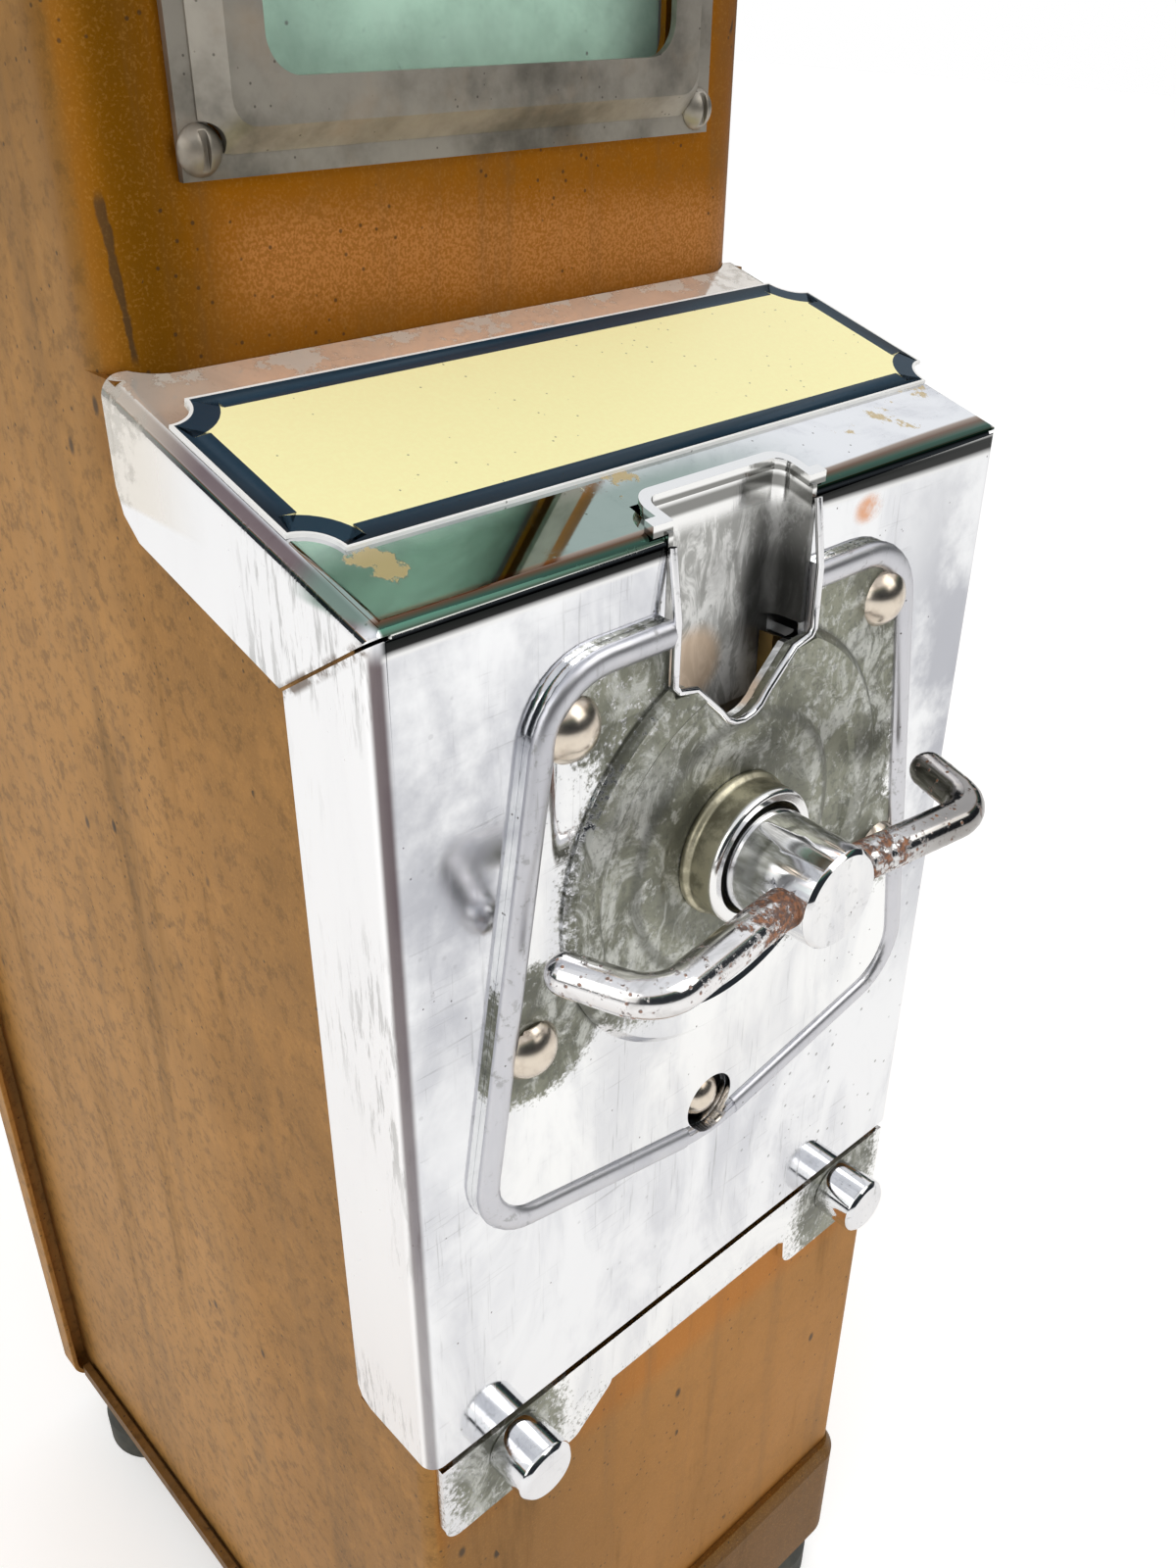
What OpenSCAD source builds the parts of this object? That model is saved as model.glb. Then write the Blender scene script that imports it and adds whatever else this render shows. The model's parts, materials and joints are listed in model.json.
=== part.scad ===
// Counter-top stamp vending machine: a tall folded-steel cabinet with a bright coin unit on its
// stepped front. Turning the T-handle carries the coin down, and draws the ejector forward, so that
// the lowest packet leaves the magazine and slides down the chute to the delivery slot.
// X points right, Y points back, Z points up. The origin is on the counter, under the middle.

/* [Cabinet] */
// Width over the cabinet's side walls
cab_w = 108; // [104:0.5:120]
// Depth of the side walls, from behind the front panel to the rear edge
cab_d = 153.6; // [152:0.2:172]
// Height of the cabinet's walls above the underside of the base
cab_h = 395; // [385:1:430]
// Thickness of the cabinet's sheet steel
sheet = 1; // [0.8:0.1:1.2]
// How far the upper front stands back from the coin unit's face
step_back = 50; // [46:0.5:56]
// Radius of the upper body's front corners
body_r = 8; // [4:0.5:10]
// Width of the return flanges round the rear opening
rear_flange = 6; // [4:0.5:8]
// Thickness of the lower front panel
panel_t = 0.8; // [0.6:0.1:1]
// Depth of the side flanges on the front panel and on the coin unit's cover
flange_d = 18; // [14:0.5:22]
// Depth of the top cap's rim
cap_rim = 8; // [5:0.5:12]

/* [Base and feet] */
// Height of the base band
base_h = 30; // [26:0.5:34]
// How far the base band stands out from the walls
base_out = 2.6; // [2.2:0.1:6]
// Height of the sloping top of the base band
base_slope = 3; // [2:0.5:8]
// Height of the lip that the base band falls to along the sides
base_lip = 3.5; // [3:0.1:6]
// Depth to which the base band keeps its full height
apron_d = 26; // [20:1:40]
// Thickness of the base pan
base_t = 1.2; // [1:0.1:1.6]
// Height of the rubber feet
foot_h = 16; // [12:0.5:20]
// Radius of a foot where it meets the base
foot_top_r = 9.5; // [9:0.5:12]
// Radius of a foot near the counter
foot_r = 12; // [11:0.5:15]

/* [Coin unit cover] */
// Height of the top fold above the underside of the base
unit_h = 262; // [258:1:268]
// Height of the cover's front face
cover_h = 134; // [130:1:138]
// Thickness of the chromed sheet
cover_t = 1; // [0.8:0.1:1.2]
// Rise of the sloping top for each millimetre of depth
cover_rise = 0.288; // [0.2:0.004:0.32]
// Radius of the folds
fold_r = 2.5; // [1.6:0.1:3.5]

/* [Face of the coin unit] */
// Half-width of the face plate at its top
plate_top_half = 36; // [34:0.5:38]
// Half-width of the face plate at its bottom
plate_low_half = 45.5; // [44:0.5:48]
// Drop of the face plate's top edge below the fold
plate_top = 10; // [9:0.5:12]
// Drop of the face plate's bottom edge below the fold
plate_low = 101; // [98:0.5:103]
// Thickness of the face plate
plate_t = 1.2; // [1:0.1:2]
// Height of the pressed ridge round the face plate
ridge_h = 1; // [0.6:0.1:1.2]
// Radius of the pressed disc round the hub
disc_r = 31; // [29.5:0.5:32]
// Height of the pressed disc
disc_h = 1.3; // [0.9:0.1:1.6]
// Drop of the handle's axis below the fold
axis_drop = 46.6; // [46:0.2:48]
// Radius of a dome rivet's head
rivet_r = 4.25; // [3.6:0.05:4.5]
// Drop of the lower face screw below the fold
face_screw_drop = 94.5; // [92:0.5:96]
// Half-width of the coin scoop
scoop_half = 12.6; // [12:0.1:13]
// Drop of the scoop's square shoulders
scoop_shoulder = 20; // [18:0.5:21]
// Drop of the bottom of the scoop's curved notch
scoop_low = 28; // [27:0.5:29]
// Length of the instruction plate
label_w = 111; // [96:1:112]
// Depth of the instruction plate along the slope
label_d = 32.5; // [24:0.5:34]

/* [Handle and mechanism] */
// Radius of the shaft
shaft_r = 4; // [3.5:0.1:4.4]
// Radius of the T-handle's rod
rod_r = 2.8; // [2.4:0.1:3]
// Half-span of the T-handle, to the middle of its turned-back ends
handle_half = 36.3; // [34:0.1:37]
// How far the hub's end stands out from the cover's face
hub_reach = 20.7; // [20:0.1:24]
// Radius of the hub at its outer end
hub_r = 7.1; // [6.8:0.1:7.3]
// Turn of the handle from rest to its stop, in degrees
handle_turn = 160; // [150:1:164]
// Diameter of the coin
coin_d = 21.2; // [19:0.1:21.2]
// Radius of the coin wheel
wheel_r = 28; // [27:0.2:28.6]
// Radius of the helical drive cam
cam_r = 12; // [11.5:0.1:12.2]
// Depth of the drive cam's groove
groove_d = 4; // [3:0.1:4.2]
// Radius of the pin that runs in the groove
pin_r = 2.2; // [1.8:0.1:2.4]
// Travel of the ejector, one packet deep
travel = 40; // [36:0.5:41]
// Radius of the ejector's guide rods
guide_r = 2.5; // [2:0.1:2.8]
// Clearance round each turning or sliding shaft
run_gap = 0.06; // [0.03:0.01:0.1]

/* [Magazine and boxes] */
// Inside width of the magazine
mag_w = 53; // [50:0.5:54]
// Inside depth of the magazine
mag_d = 42; // [41.5:0.1:44]
// Thickness of the magazine's walls
mag_t = 0.8; // [0.6:0.1:1]
// Height of the magazine above the ejector blade
mag_h = 208; // [190:1:212]
// Drop of the magazine's floor below the fold
floor_drop = 90; // [88:0.5:92]
// Height of the follower weight
weight_h = 16; // [12:0.5:24]
// Height of the cash box
cash_h = 76; // [60:1:80]

/* [Sign window] */
// Width of the window's frame
bezel_w = 85.5; // [80:0.5:88]
// Height of the window's frame
bezel_h = 82; // [76:0.5:86]
// Height of the frame's lower edge above the fold
bezel_rise = 34.9; // [32:0.5:36]
// Width of the frame round the opening
bezel_edge = 10.4; // [9:0.2:11]
// How far the raised border stands out from the upper front
bezel_proud = 4; // [3:0.2:5]

/* [Rear door] */
// Thickness of the door's sheet
door_t = 1.2; // [1:0.1:1.4]
// Depth of the door's pan
door_pan = 5.7; // [5:0.1:6]
// Radius of the door's corners
door_r = 6; // [4:0.5:8]
// Length of each hinge
hinge_l = 40; // [30:1:50]
// Radius of the hinge knuckles
knuckle_r = 2.5; // [2.2:0.1:2.6]

/* [Hidden] */
$fn = 48;
gap = 0.3;                  // between parts that move past each other
eps = 0.01;                 // overrun of a cut

// Depths run back from the coin unit's face, and drops run down from its top fold.
panel_y = cover_t + 0.5;
panel_r = 3;                // the front panel's folds
side_y = panel_y + panel_r + 0.2;
cab_rear = side_y + cab_d;
door_y = cab_rear + gap;
door_back = door_y + door_t;
lock_head = 2.5;
rear_reach = door_back + lock_head;
unit_z = foot_h + unit_h;
half_w = cab_w / 2;
in_half = half_w - sheet;
cover_w = cab_w + 2 * cover_t;
low_drop = unit_h;          // the base's underside
top_drop = unit_h - cab_h;  // the top of the walls
slope_len = sqrt(1 + cover_rise * cover_rise);
slope_deg = atan(cover_rise);

// Handle: the rod leaves the hub square, bows forward a little, and its ends turn back.
rod_out = 16.6;             // how far the rod stands out from the face
bow_deg = 7;
bow_r = 14;
bow_start = hub_r + 0.6;
elbow_r = 6;
leg_deg = 69;
end_clear = 5.4;            // between a rod end and the cover's face
bow_out = rod_out + bow_r * (1 - cos(bow_deg));
leg_drop = elbow_r * (cos(bow_deg) - cos(leg_deg));
end_out = end_clear + rod_r;
bow_len = (handle_half - bow_start - bow_r * sin(bow_deg) - elbow_r * (sin(leg_deg) + sin(bow_deg))
           - (bow_out - leg_drop - end_out) / tan(leg_deg))
          / (cos(bow_deg) + sin(bow_deg) / tan(leg_deg));
elbow_out = bow_out + bow_len * sin(bow_deg);
leg_len = (elbow_out - leg_drop - end_out) / sin(leg_deg);
front_reach = max(hub_reach, elbow_out + elbow_r * (1 - cos(bow_deg)) + rod_r);
face_y = (front_reach - rear_reach) / 2;
hub_base_r = hub_r + 0.65;
hub_start = 4.3;            // the hub's inner end, in front of the face
shaft_front = rod_out - rod_r - 0.8;
ring_r = 10;
ring_out = 7.4;
ring_in = hub_base_r + 0.5;
sleeve_r = 6;

// The mechanism's places, as depths behind the face
wheel_y = 3;
wheel_t = 2.4;
race_t = 1.2;
race_r = wheel_r + 0.4 + race_t;
scoop_back = wheel_y + wheel_t + 0.2;
scoop_t = 0.8;
scoop_r = 2.2;              // the trough's rounded corners
scoop_edge = 1.5;           // the trough's rolled edge
front_plate_y = scoop_back + scoop_t + 0.2;
frame_t = 1.5;
front_plate_back = front_plate_y + frame_t;
ratchet_y = front_plate_back + 1.4;
ratchet_t = 3;
cam_y = ratchet_y + ratchet_t + 1.5;
pin_end = 3.3;              // solid left beyond each end of the groove
groove_e = pin_r + 0.4;
cam_len = travel + 2 * (groove_e + pin_end);
cam_back = cam_y + cam_len;
pin_y = cam_back - pin_end - groove_e;
rear_plate_y = cam_back + 1;
rear_plate_back = rear_plate_y + frame_t;
collar_y = rear_plate_back + gap;
collar_t = 4;
shaft_back = collar_y + collar_t;
mag_y = rear_plate_back + 8.5;
mag_back = mag_y + mag_d;

// Ratchet: the pawl hangs on a stud to the right of the axis and swings across the end gaps.
ratchet_tip = 19;
ratchet_root = 15.2;
tooth_pitch = 12;
tooth_count = floor((handle_turn - 52) / tooth_pitch);
pawl_x = 34;
pawl_len = 17;
pawl_tip_r = 1.2;
pawl_eye_r = 5;
pawl_tilt = 28;
stud_r = 2.5;
horn_half = 8;
horn_r = 23;
stop_pin_r = 1.5;
stop_pin_at = 21;
stop_pin_deg = horn_half + asin((stop_pin_r + gap) / stop_pin_at) + 0.4;

// Ejector: a yoke on two guide rods, with a blade that sweeps the magazine's floor.
blade_t = 1.8;
blade_drop = floor_drop - 0.6 - blade_t;
mag_low = blade_drop - 0.5;
guide_x = in_half - 13;
guide_drop = axis_drop + cam_r + 7.4;
bar_top = axis_drop + cam_r + 2.4;
bar_low = bar_top + 10;
bar_half_d = 3.2;
rail_x = mag_w / 2 + mag_t + 6.7;
rail_t = 2;
lug_half = guide_r + 1.7;
blade_y = mag_back + gap;
yoke_back = blade_y + 6;
rod_end_y = yoke_back + 6;
spacer_x = in_half - 8;
spacer_r = 3;
spacer_top = 14;
spacer_low = 103;
plate_low_drop = 110;

// Delivery slot below the cover, and the chute that leads to it
slot_half = 29;
slot_top = cover_h - 1;
strip_top = cover_h + 1.6;
slot_low = strip_top + 1.6;
strip_t = panel_y;
post_x = 39;
post_drop = strip_top + 5.4;
post_r = 5.2;
post_out = 8;
post_shank = 2.5;
chute_t = 0.8;
foot_nut = 2.8;
cash_half = in_half - rear_flange - 0.5;       // narrow enough to come out between the rear flanges
cash_t = 1;
cash_low = base_t + foot_nut + 1.4 - unit_h;   // the box stands on the foot screws' ends
duct_low = cash_low + cash_h + 3;
chute_half = mag_w / 2;
duct_w = coin_d + 0.8;
duct_x = in_half - 0.4 - chute_t - duct_w;

// Base, feet and door
base_front = panel_y - base_out;
base_back = door_back - door_pan - 0.5;
foot_x = half_w - 9.5;
foot_front = 11.5;
foot_rear = base_back - 12;
door_half = half_w + 4.5;
door_low = 1.6;             // how far the door reaches below the base
cap_t = 1.2;
door_top = cab_h + cap_t + 0.8 + door_t;
hinge_x = half_w + 0.3 + knuckle_r;
hinge_y = door_y - 4.5 - knuckle_r + 0.05;
hinge_pin_r = 1.3;
leaf_t = 0.8;
hinge_zs = [70, 330];
lock_x = 22 - half_w;
lock_z = 214;
barrel_r = 9;
barrel_in = 10;             // how far the barrel reaches in from the door's back
plug_r = 5;
cam_seat_r = 3.5;
lock_cam_t = 2;

// Window
bezel_top = bezel_rise + bezel_h;
opening_w = bezel_w - 2 * bezel_edge;
opening_h = bezel_h - 2 * bezel_edge;
opening_r = 4.5;
bezel_mid = bezel_rise + bezel_h / 2;
bezel_hole_x = bezel_w / 2 - 2.4;
bezel_hole_z = bezel_h / 2 - 3.2;
glass_t = 2;
glass_y = step_back + sheet + 0.2;
card_y = glass_y + glass_t + 0.2;
card_t = 0.8;
backing_y = card_y + card_t + 0.2;
backing_t = 1;
bezel_shank = 1.6;
screw_head_r = 2.9;
screw_dome = 1.9;

// ---------------------------------------------------------------- frames and helpers

// Carries what is drawn in the coin unit's frame: depth along Y, and drop along -Z
module unit_frame() {
    translate([0, face_y, unit_z]) children();
}

// Moves to the handle's axis, inside the coin unit's frame
module on_axis() {
    translate([0, 0, -axis_drop]) children();
}

// Extrudes an (x, z) outline from depth a to depth b
module y_plate(a, b) {
    translate([0, b, 0]) rotate([90, 0, 0]) linear_extrude(b - a) children();
}

// Extrudes a (y, z) outline from x = a to x = b
module x_plate(a, b) {
    translate([a, 0, 0]) rotate([90, 0, 90]) linear_extrude(b - a) children();
}

module y_cyl(r, a, b) {
    translate([0, b, 0]) rotate([90, 0, 0]) cylinder(r = r, h = b - a);
}

// Turned about the Y axis from a profile of (radius, distance out from the face)
module turned() {
    rotate([90, 0, 0]) rotate_extrude() children();
}

module box(x, y, z) {
    translate([x[0], y[0], z[0]]) cube([x[1] - x[0], y[1] - y[0], z[1] - z[0]]);
}

// Rectangle about the origin with four round corners
module round_rect(w, h, r) {
    square([w - 2 * r, h], center = true);
    square([w, h - 2 * r], center = true);
    for (x = [-1, 1], y = [-1, 1]) translate([x * (w / 2 - r), y * (h / 2 - r)]) circle(r);
}

// Rectangle from y = a to y = b with only its two front corners round
module front_round(w, a, b, r) {
    translate([-w / 2, a + r]) square([w, b - a - r]);
    translate([-w / 2 + r, a]) square([w - 2 * r, r + eps]);
    for (x = [-1, 1]) translate([x * (w / 2 - r), a + r]) circle(r);
}

// Ball whose cap of radius r and height h lies in front of the plane y = 0
module dome(r, h) {
    ball = (r * r + h * h) / (2 * h);
    intersection() {
        translate([0, ball - h, 0]) sphere(ball);
        y_cyl(r + 1, -h - 1, 0);
    }
}

module at_both(x) {
    for (s = [-1, 1]) translate([s * x, 0, 0]) children();
}

// ---------------------------------------------------------------- cabinet

// Side wall in (depth, height above the fold): its top follows the cover's slope, then steps up
module side_outline() {
    under = fold_r * slope_len + 0.1;
    polygon([[side_y, -low_drop + base_t], [side_y, cover_rise * side_y - under],
             [step_back + eps, cover_rise * step_back - under],
             [step_back + body_r + eps, -top_drop], [cab_rear, -top_drop],
             [cab_rear, -low_drop + base_t]]);
}

module cabinet_shell() color("peru") unit_frame() difference() {
    union() {
        translate([0, 0, cover_rise * step_back - 1]) linear_extrude(-top_drop - cover_rise * step_back + 1)
            difference() {
                front_round(cab_w, step_back, cab_rear, body_r);
                front_round(cab_w - 2 * sheet, step_back + sheet, cab_rear + 1, body_r - sheet);
            }
        for (s = [-1, 1]) x_plate(s < 0 ? -half_w : in_half, s < 0 ? -in_half : half_w) side_outline();
        for (s = [-1, 1]) box([s < 0 ? -in_half - eps : in_half - rear_flange,
                               s < 0 ? rear_flange - in_half : in_half + eps],
                              [cab_rear - sheet, cab_rear], [-low_drop + base_t, -top_drop]);
        box([-in_half - eps, in_half + eps], [cab_rear - sheet, cab_rear],
            [-top_drop - rear_flange, -top_drop]);
    }
    corner_trim();
    translate([0, step_back + sheet + 1, bezel_mid]) rotate([90, 0, 0])
        linear_extrude(sheet + 2) round_rect(opening_w + 4, opening_h + 4, opening_r);
    bezel_holes(bezel_shank + 0.1);
    for (z = hinge_zs) translate([half_w, hinge_y - 8, z - unit_h]) hinge_rivet_holes();
}

// Cuts the side walls back to the upper body's round corners
module corner_trim() {
    translate([0, 0, cover_rise * step_back]) linear_extrude(-top_drop) difference() {
        translate([-half_w - 1, step_back - 1]) square([cab_w + 2, body_r + 1]);
        front_round(cab_w, step_back, cab_rear, body_r);
    }
}

module hinge_rivet_holes() {
    for (s = [-1, 1]) translate([-sheet - 1, 0, s * hinge_l / 3]) rotate([0, 90, 0])
        cylinder(r = 1, h = sheet + leaf_t + 2);
}

module front_panel() color("sienna") unit_frame() difference() {
    union() {
        translate([0, 0, -low_drop + base_t]) linear_extrude(low_drop - base_t - cover_h - 0.4)
            intersection() {
                difference() {
                    front_round(cab_w + 2 * panel_t, panel_y, 40, panel_r);
                    front_round(cab_w, panel_y + panel_t, 41, panel_r - panel_t);
                }
                translate([-cab_w, 0]) square([2 * cab_w, flange_d]);
            }
        box([-in_half, in_half], [panel_y, panel_y + panel_t], [-cover_h - 6, -cover_h + 12]);
    }
    box([-slot_half, slot_half], [0, panel_y + 3], [-slot_low, -slot_top]);
    for (s = [-1, 1]) translate([s * post_x, 0, -post_drop]) y_cyl(post_shank + 0.05, 0, 9);
}

module top_cap() color("peru") unit_frame() translate([0, 0, -top_drop - cap_rim]) difference() {
    linear_extrude(cap_rim + cap_t)
        front_round(cab_w + 2 * sheet, step_back - sheet, cab_rear - 5.2, body_r + sheet);
    translate([0, 0, -1]) linear_extrude(cap_rim + 1)
        front_round(cab_w, step_back, cab_rear, body_r);
}

// ---------------------------------------------------------------- base

// A slice of the base band's outline, standing out by o
module band_slice(z, o) {
    translate([0, 0, z]) linear_extrude(0.02)
        front_round(cab_w + 2 * o, panel_y - o, base_back, 4 + o, $fn = 32);
}

// What is cut from the sides of the band, in (depth, height): it falls in a curve from the apron to the lip
module apron_fall() {
    fall_r = 20;
    polygon(concat([[apron_d, base_h + 1]],
        [for (a = [0:15:90]) [apron_d + fall_r * (1 - cos(a)), base_lip + fall_r * (1 - sin(a))]],
        [[base_back + 20, base_lip], [base_back + 20, base_h + 1]]));
}

module base_pan() color("saddlebrown") unit_frame() translate([0, 0, -low_drop]) difference() {
    union() {
        linear_extrude(base_h - base_slope)
            front_round(cab_w + 2 * base_out, base_front, base_back, 4 + base_out);
        hull() {
            band_slice(base_h - base_slope - 0.02, base_out);
            band_slice(base_h - 0.02, panel_t + 0.4);
        }
    }
    x_plate(-cab_w, cab_w) apron_fall();
    translate([0, 0, base_t]) linear_extrude(base_h)
        front_round(cab_w + 2 * panel_t + 0.1, panel_y - 0.05, cab_rear, panel_r);
    for (x = [-foot_x, foot_x], y = [foot_front, foot_rear])
        translate([x, y, -1]) cylinder(r = 2.2, h = base_t + 2);
}

module at_feet() {
    for (x = [-foot_x, foot_x], y = [foot_front, foot_rear]) translate([x, face_y + y, 0]) children();
}

module feet() color("darkslategray") at_feet() rotate_extrude() difference() {
    union() {
        square([foot_r, foot_h / 2]);
        polygon([[0, foot_h / 2 - eps], [foot_r, foot_h / 2 - eps], [foot_top_r, foot_h], [0, foot_h]]);
    }
    square([4.4, foot_h * 3], center = true);
    translate([0, -1]) square([6, foot_h * 0.45 + 1]);
}

module foot_screws() color("silver") at_feet() translate([0, 0, foot_h * 0.45]) {
    translate([0, 0, -3]) difference() {
        cylinder(r = 4.6, h = 3);
        translate([-6, -0.6, -eps]) cube([12, 1.2, 1.2]);
    }
    cylinder(r = 2.15, h = foot_h * 0.55 + base_t + foot_nut + 1.2);
    translate([0, 0, foot_h * 0.55 + base_t]) cylinder(r = 4.2, h = foot_nut, $fn = 6);
}

// ---------------------------------------------------------------- coin unit, outside

// The cover's section under its outer skin, standing in by o, in (depth, height above the fold)
module cover_profile(o, r) {
    k = cover_rise;
    corner = [o, k * o - o * slope_len];
    turn = 90 - slope_deg;
    back = r * tan(turn / 2);
    mid = [corner[0] + r, corner[1] - back];
    polygon(concat(
        [[corner[0], -cover_h - 5]],
        [for (a = [0:8]) mid + r * [-cos(turn * a / 8), sin(turn * a / 8)]],
        [[100, corner[1] + k * (100 - corner[0])], [100, -cover_h - 5]]));
}

// A prism that rounds the folds at both sides, standing in by o
module cover_folds(o, r) {
    w = cover_w - 2 * o;
    intersection() {
        translate([0, 0, -cover_h - 5]) linear_extrude(cover_h + 60) front_round(w, o, 100, r);
        translate([0, 0, -o * slope_len]) rotate([slope_deg, 0, 0]) rotate([90, 0, 0])
            translate([0, 0, -120]) linear_extrude(220) {
                translate([-w / 2, -200]) square([w, 200 - r]);
                translate([-w / 2 + r, -r - 1]) square([w - 2 * r, r + 1]);
                for (s = [-1, 1]) translate([s * (w / 2 - r), -r]) circle(r);
            }
    }
}

module cover_solid(o, r) {
    intersection() {
        x_plate(-cover_w / 2 + o, cover_w / 2 - o) cover_profile(o, r);
        cover_folds(o, r);
    }
}

// The band that the folded sheet keeps: the front, the sloping top, and the flanges at the sides
module cover_band() {
    k = cover_rise;
    d = flange_d;
    rear = step_back + 2;
    polygon([[-5, -cover_h], [d - 3, -cover_h], [d - 0.9, -cover_h + 0.9], [d, -cover_h + 3],
             [d, k * d - d], [rear - 4, k * (rear - 4) - d], [rear - 1, k * rear - d + 1.6],
             [rear, k * rear - d + 5], [rear, 40], [-5, 40]]);
}

module scoop_opening(o) {
    half = scoop_half + scoop_t + o;
    polygon(concat([[-half, 20], [-half, -scoop_shoulder], [-9.6, -scoop_shoulder - 0.4]],
        [for (a = [-60:15:60]) [5.4 * sin(a), -scoop_low + 5.4 - 5.4 * cos(a)] ],
        [[9.6, -scoop_shoulder - 0.4], [half, -scoop_shoulder], [half, 20]]));
}

module rivet_places() {
    for (p = [[-29.2, -19.1], [29.4, -19.2], [-35.8, -63.2], [35.8, -63.2]])
        translate([p[0], 0, p[1]]) children();
}

module coin_cover() color("gainsboro") unit_frame() difference() {
    intersection() {
        difference() {
            cover_solid(0, fold_r);
            cover_solid(cover_t, fold_r - cover_t);
        }
        x_plate(-cover_w, cover_w) cover_band();
    }
    translate([0, 0, cover_rise * step_back - 20]) linear_extrude(60)
        front_round(cab_w + 0.02, step_back - 0.1, cab_rear, body_r);
    y_plate(-1, scoop_back + scoop_t + 0.1) scoop_opening(0.1);
    on_axis() y_cyl(sleeve_r + 0.05, -5, 5);
    rivet_places() y_cyl(2.05, -5, 5);
    translate([0, 0, -face_screw_drop]) y_cyl(4.8, -5, 5);
    corner_seams();
}

// The mitred seams at the sides, between the top's flange and the front's
module corner_seams() {
    seam = 0.5;
    corner = flange_d * (1 - cover_rise);
    for (s = [-1, 1]) x_plate(s < 0 ? -cover_w : half_w - 1.6, s < 0 ? 1.6 - half_w : cover_w)
        polygon([[-1, 0.3], [-1, 0.3 - seam], [flange_d + 1, -corner - seam], [flange_d + 1, -corner]]);
}

// The face plate's corners, and the bow of its lower edge, in order round it: centre and radius
PLATE_ARCS = [
    [[plate_top_half - 12, -plate_top - 12], 12], [[12 - plate_top_half, -plate_top - 12], 12],
    [[11 - plate_low_half, 18 - plate_low], 11], [[0, 30 - plate_low], 30],
    [[plate_low_half - 11, 18 - plate_low], 11]];

module plate_outline(inset = 0) {
    hull() for (arc = PLATE_ARCS) translate(arc[0]) circle(arc[1] - inset);
}

// The bead runs round the plate just inside its edge, in two steps that stand for its round section
module plate_bead() {
    mid = 1.75;                 // the bead's middle, inside the plate's edge
    for (step = [[1.4, 0.55 * ridge_h], [0.8, ridge_h]])
        y_plate(-plate_t - step[1], -plate_t / 2) difference() {
            plate_outline(mid - step[0]);
            plate_outline(mid + step[0]);
        }
}

module face_plate() color("whitesmoke") unit_frame() difference() {
    union() {
        y_plate(-plate_t, 0) plate_outline();
        difference() {
            plate_bead();
            rivet_places() y_cyl(rivet_r + 0.1, -plate_t - 3, -plate_t);
        }
    }
    y_plate(-plate_t - 3, 1) scoop_opening(0.1);
    on_axis() y_cyl(sleeve_r + 0.05, -9, 1);
    rivet_places() y_cyl(2.05, -5, 1);
    translate([0, 0, -face_screw_drop]) y_cyl(4.8, -5, 1);
}

module dial_boss() color("lightgray") unit_frame() difference() {
    on_axis() turned() polygon([
        [sleeve_r + 0.05, plate_t], [disc_r, plate_t], [disc_r, plate_t + 0.4],
        [disc_r - 1.2, plate_t + disc_h], [disc_r - 5.4, plate_t + disc_h],
        [disc_r - 6.2, plate_t + disc_h - 0.5], [disc_r - 11, plate_t + disc_h - 0.5],
        [disc_r - 12, plate_t + disc_h], [ring_r + 5, plate_t + disc_h],
        [ring_r + 3, plate_t + 0.6], [sleeve_r + 0.05, plate_t + 0.6]]);
    y_plate(-plate_t - 5, 1) scoop_opening(0.1);
}

module face_rivets() color("tan") unit_frame() rivet_places() {
    translate([0, -plate_t, 0]) dome(rivet_r, 2.6);
    y_cyl(2, -plate_t - 0.5, cover_t + 1);
    y_cyl(3, cover_t, cover_t + 1);
}

module hub_collar() color("silver") unit_frame() on_axis() turned() polygon([
    [shaft_r + run_gap, -cover_t - 0.6], [sleeve_r, -cover_t - 0.6], [sleeve_r, plate_t + 0.6],
    [ring_r + 0.6, plate_t + 0.6], [ring_r + 0.6, plate_t + 1.4], [ring_r, plate_t + 2],
    [ring_r, ring_out - 0.5], [ring_r - 0.5, ring_out], [ring_in, ring_out],
    [ring_in, hub_start - 0.4], [shaft_r + run_gap, hub_start - 0.4]]);

// The trough seen from above, standing out by o from its inner face: open at the front, round behind
module scoop_plan(o) {
    mirror([0, 1]) front_round(2 * (scoop_half + o), -scoop_back - o, 6, scoop_r + o);
}

// The trough's edge is rolled over the cover, round three sides of the opening, and ends in two ears
module rolled_edge() {
    over = (scoop_edge - scoop_t) / 2;
    front = 0.4;
    side = scoop_half + scoop_t + over;
    intersection() {
        translate([0, 0, -1]) linear_extrude(12) difference() {
            scoop_plan(scoop_t + over);
            scoop_plan(-over);
        }
        x_plate(-side - 1, side + 1) edge_band(front, scoop_back + 4);
    }
    for (s = [-1, 1]) x_plate(s < 0 ? -side - 1.8 : side - 1, s < 0 ? 1 - side : side + 1.8)
        edge_band(front, front + scoop_edge);
}

// The rolled edge's section along the slope, from depth a to depth b
module edge_band(a, b) {
    polygon([[a, cover_rise * a + 0.02], [b, cover_rise * b + 0.02],
             [b, cover_rise * b + scoop_edge], [a, cover_rise * a + scoop_edge]]);
}

module coin_scoop() color("lightslategray") unit_frame() {
    low = 1.5 - scoop_shoulder;
    outer = scoop_back + scoop_t;
    intersection() {
        translate([0, 0, low]) linear_extrude(40) difference() {
            scoop_plan(scoop_t);
            scoop_plan(0);
        }
        x_plate(-scoop_half - 2, scoop_half + 2)
            polygon([[0, low], [0, 0.4], [outer + 1, cover_rise * (outer + 1) + 0.7], [outer + 1, low]]);
    }
    rolled_edge();
    y_plate(scoop_back, outer) difference() {
        translate([-scoop_half, -scoop_low - 2]) square([2 * scoop_half, scoop_low + 3 + low]);
        translate([0, -axis_drop]) circle(sleeve_r + 4);
    }
}

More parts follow.
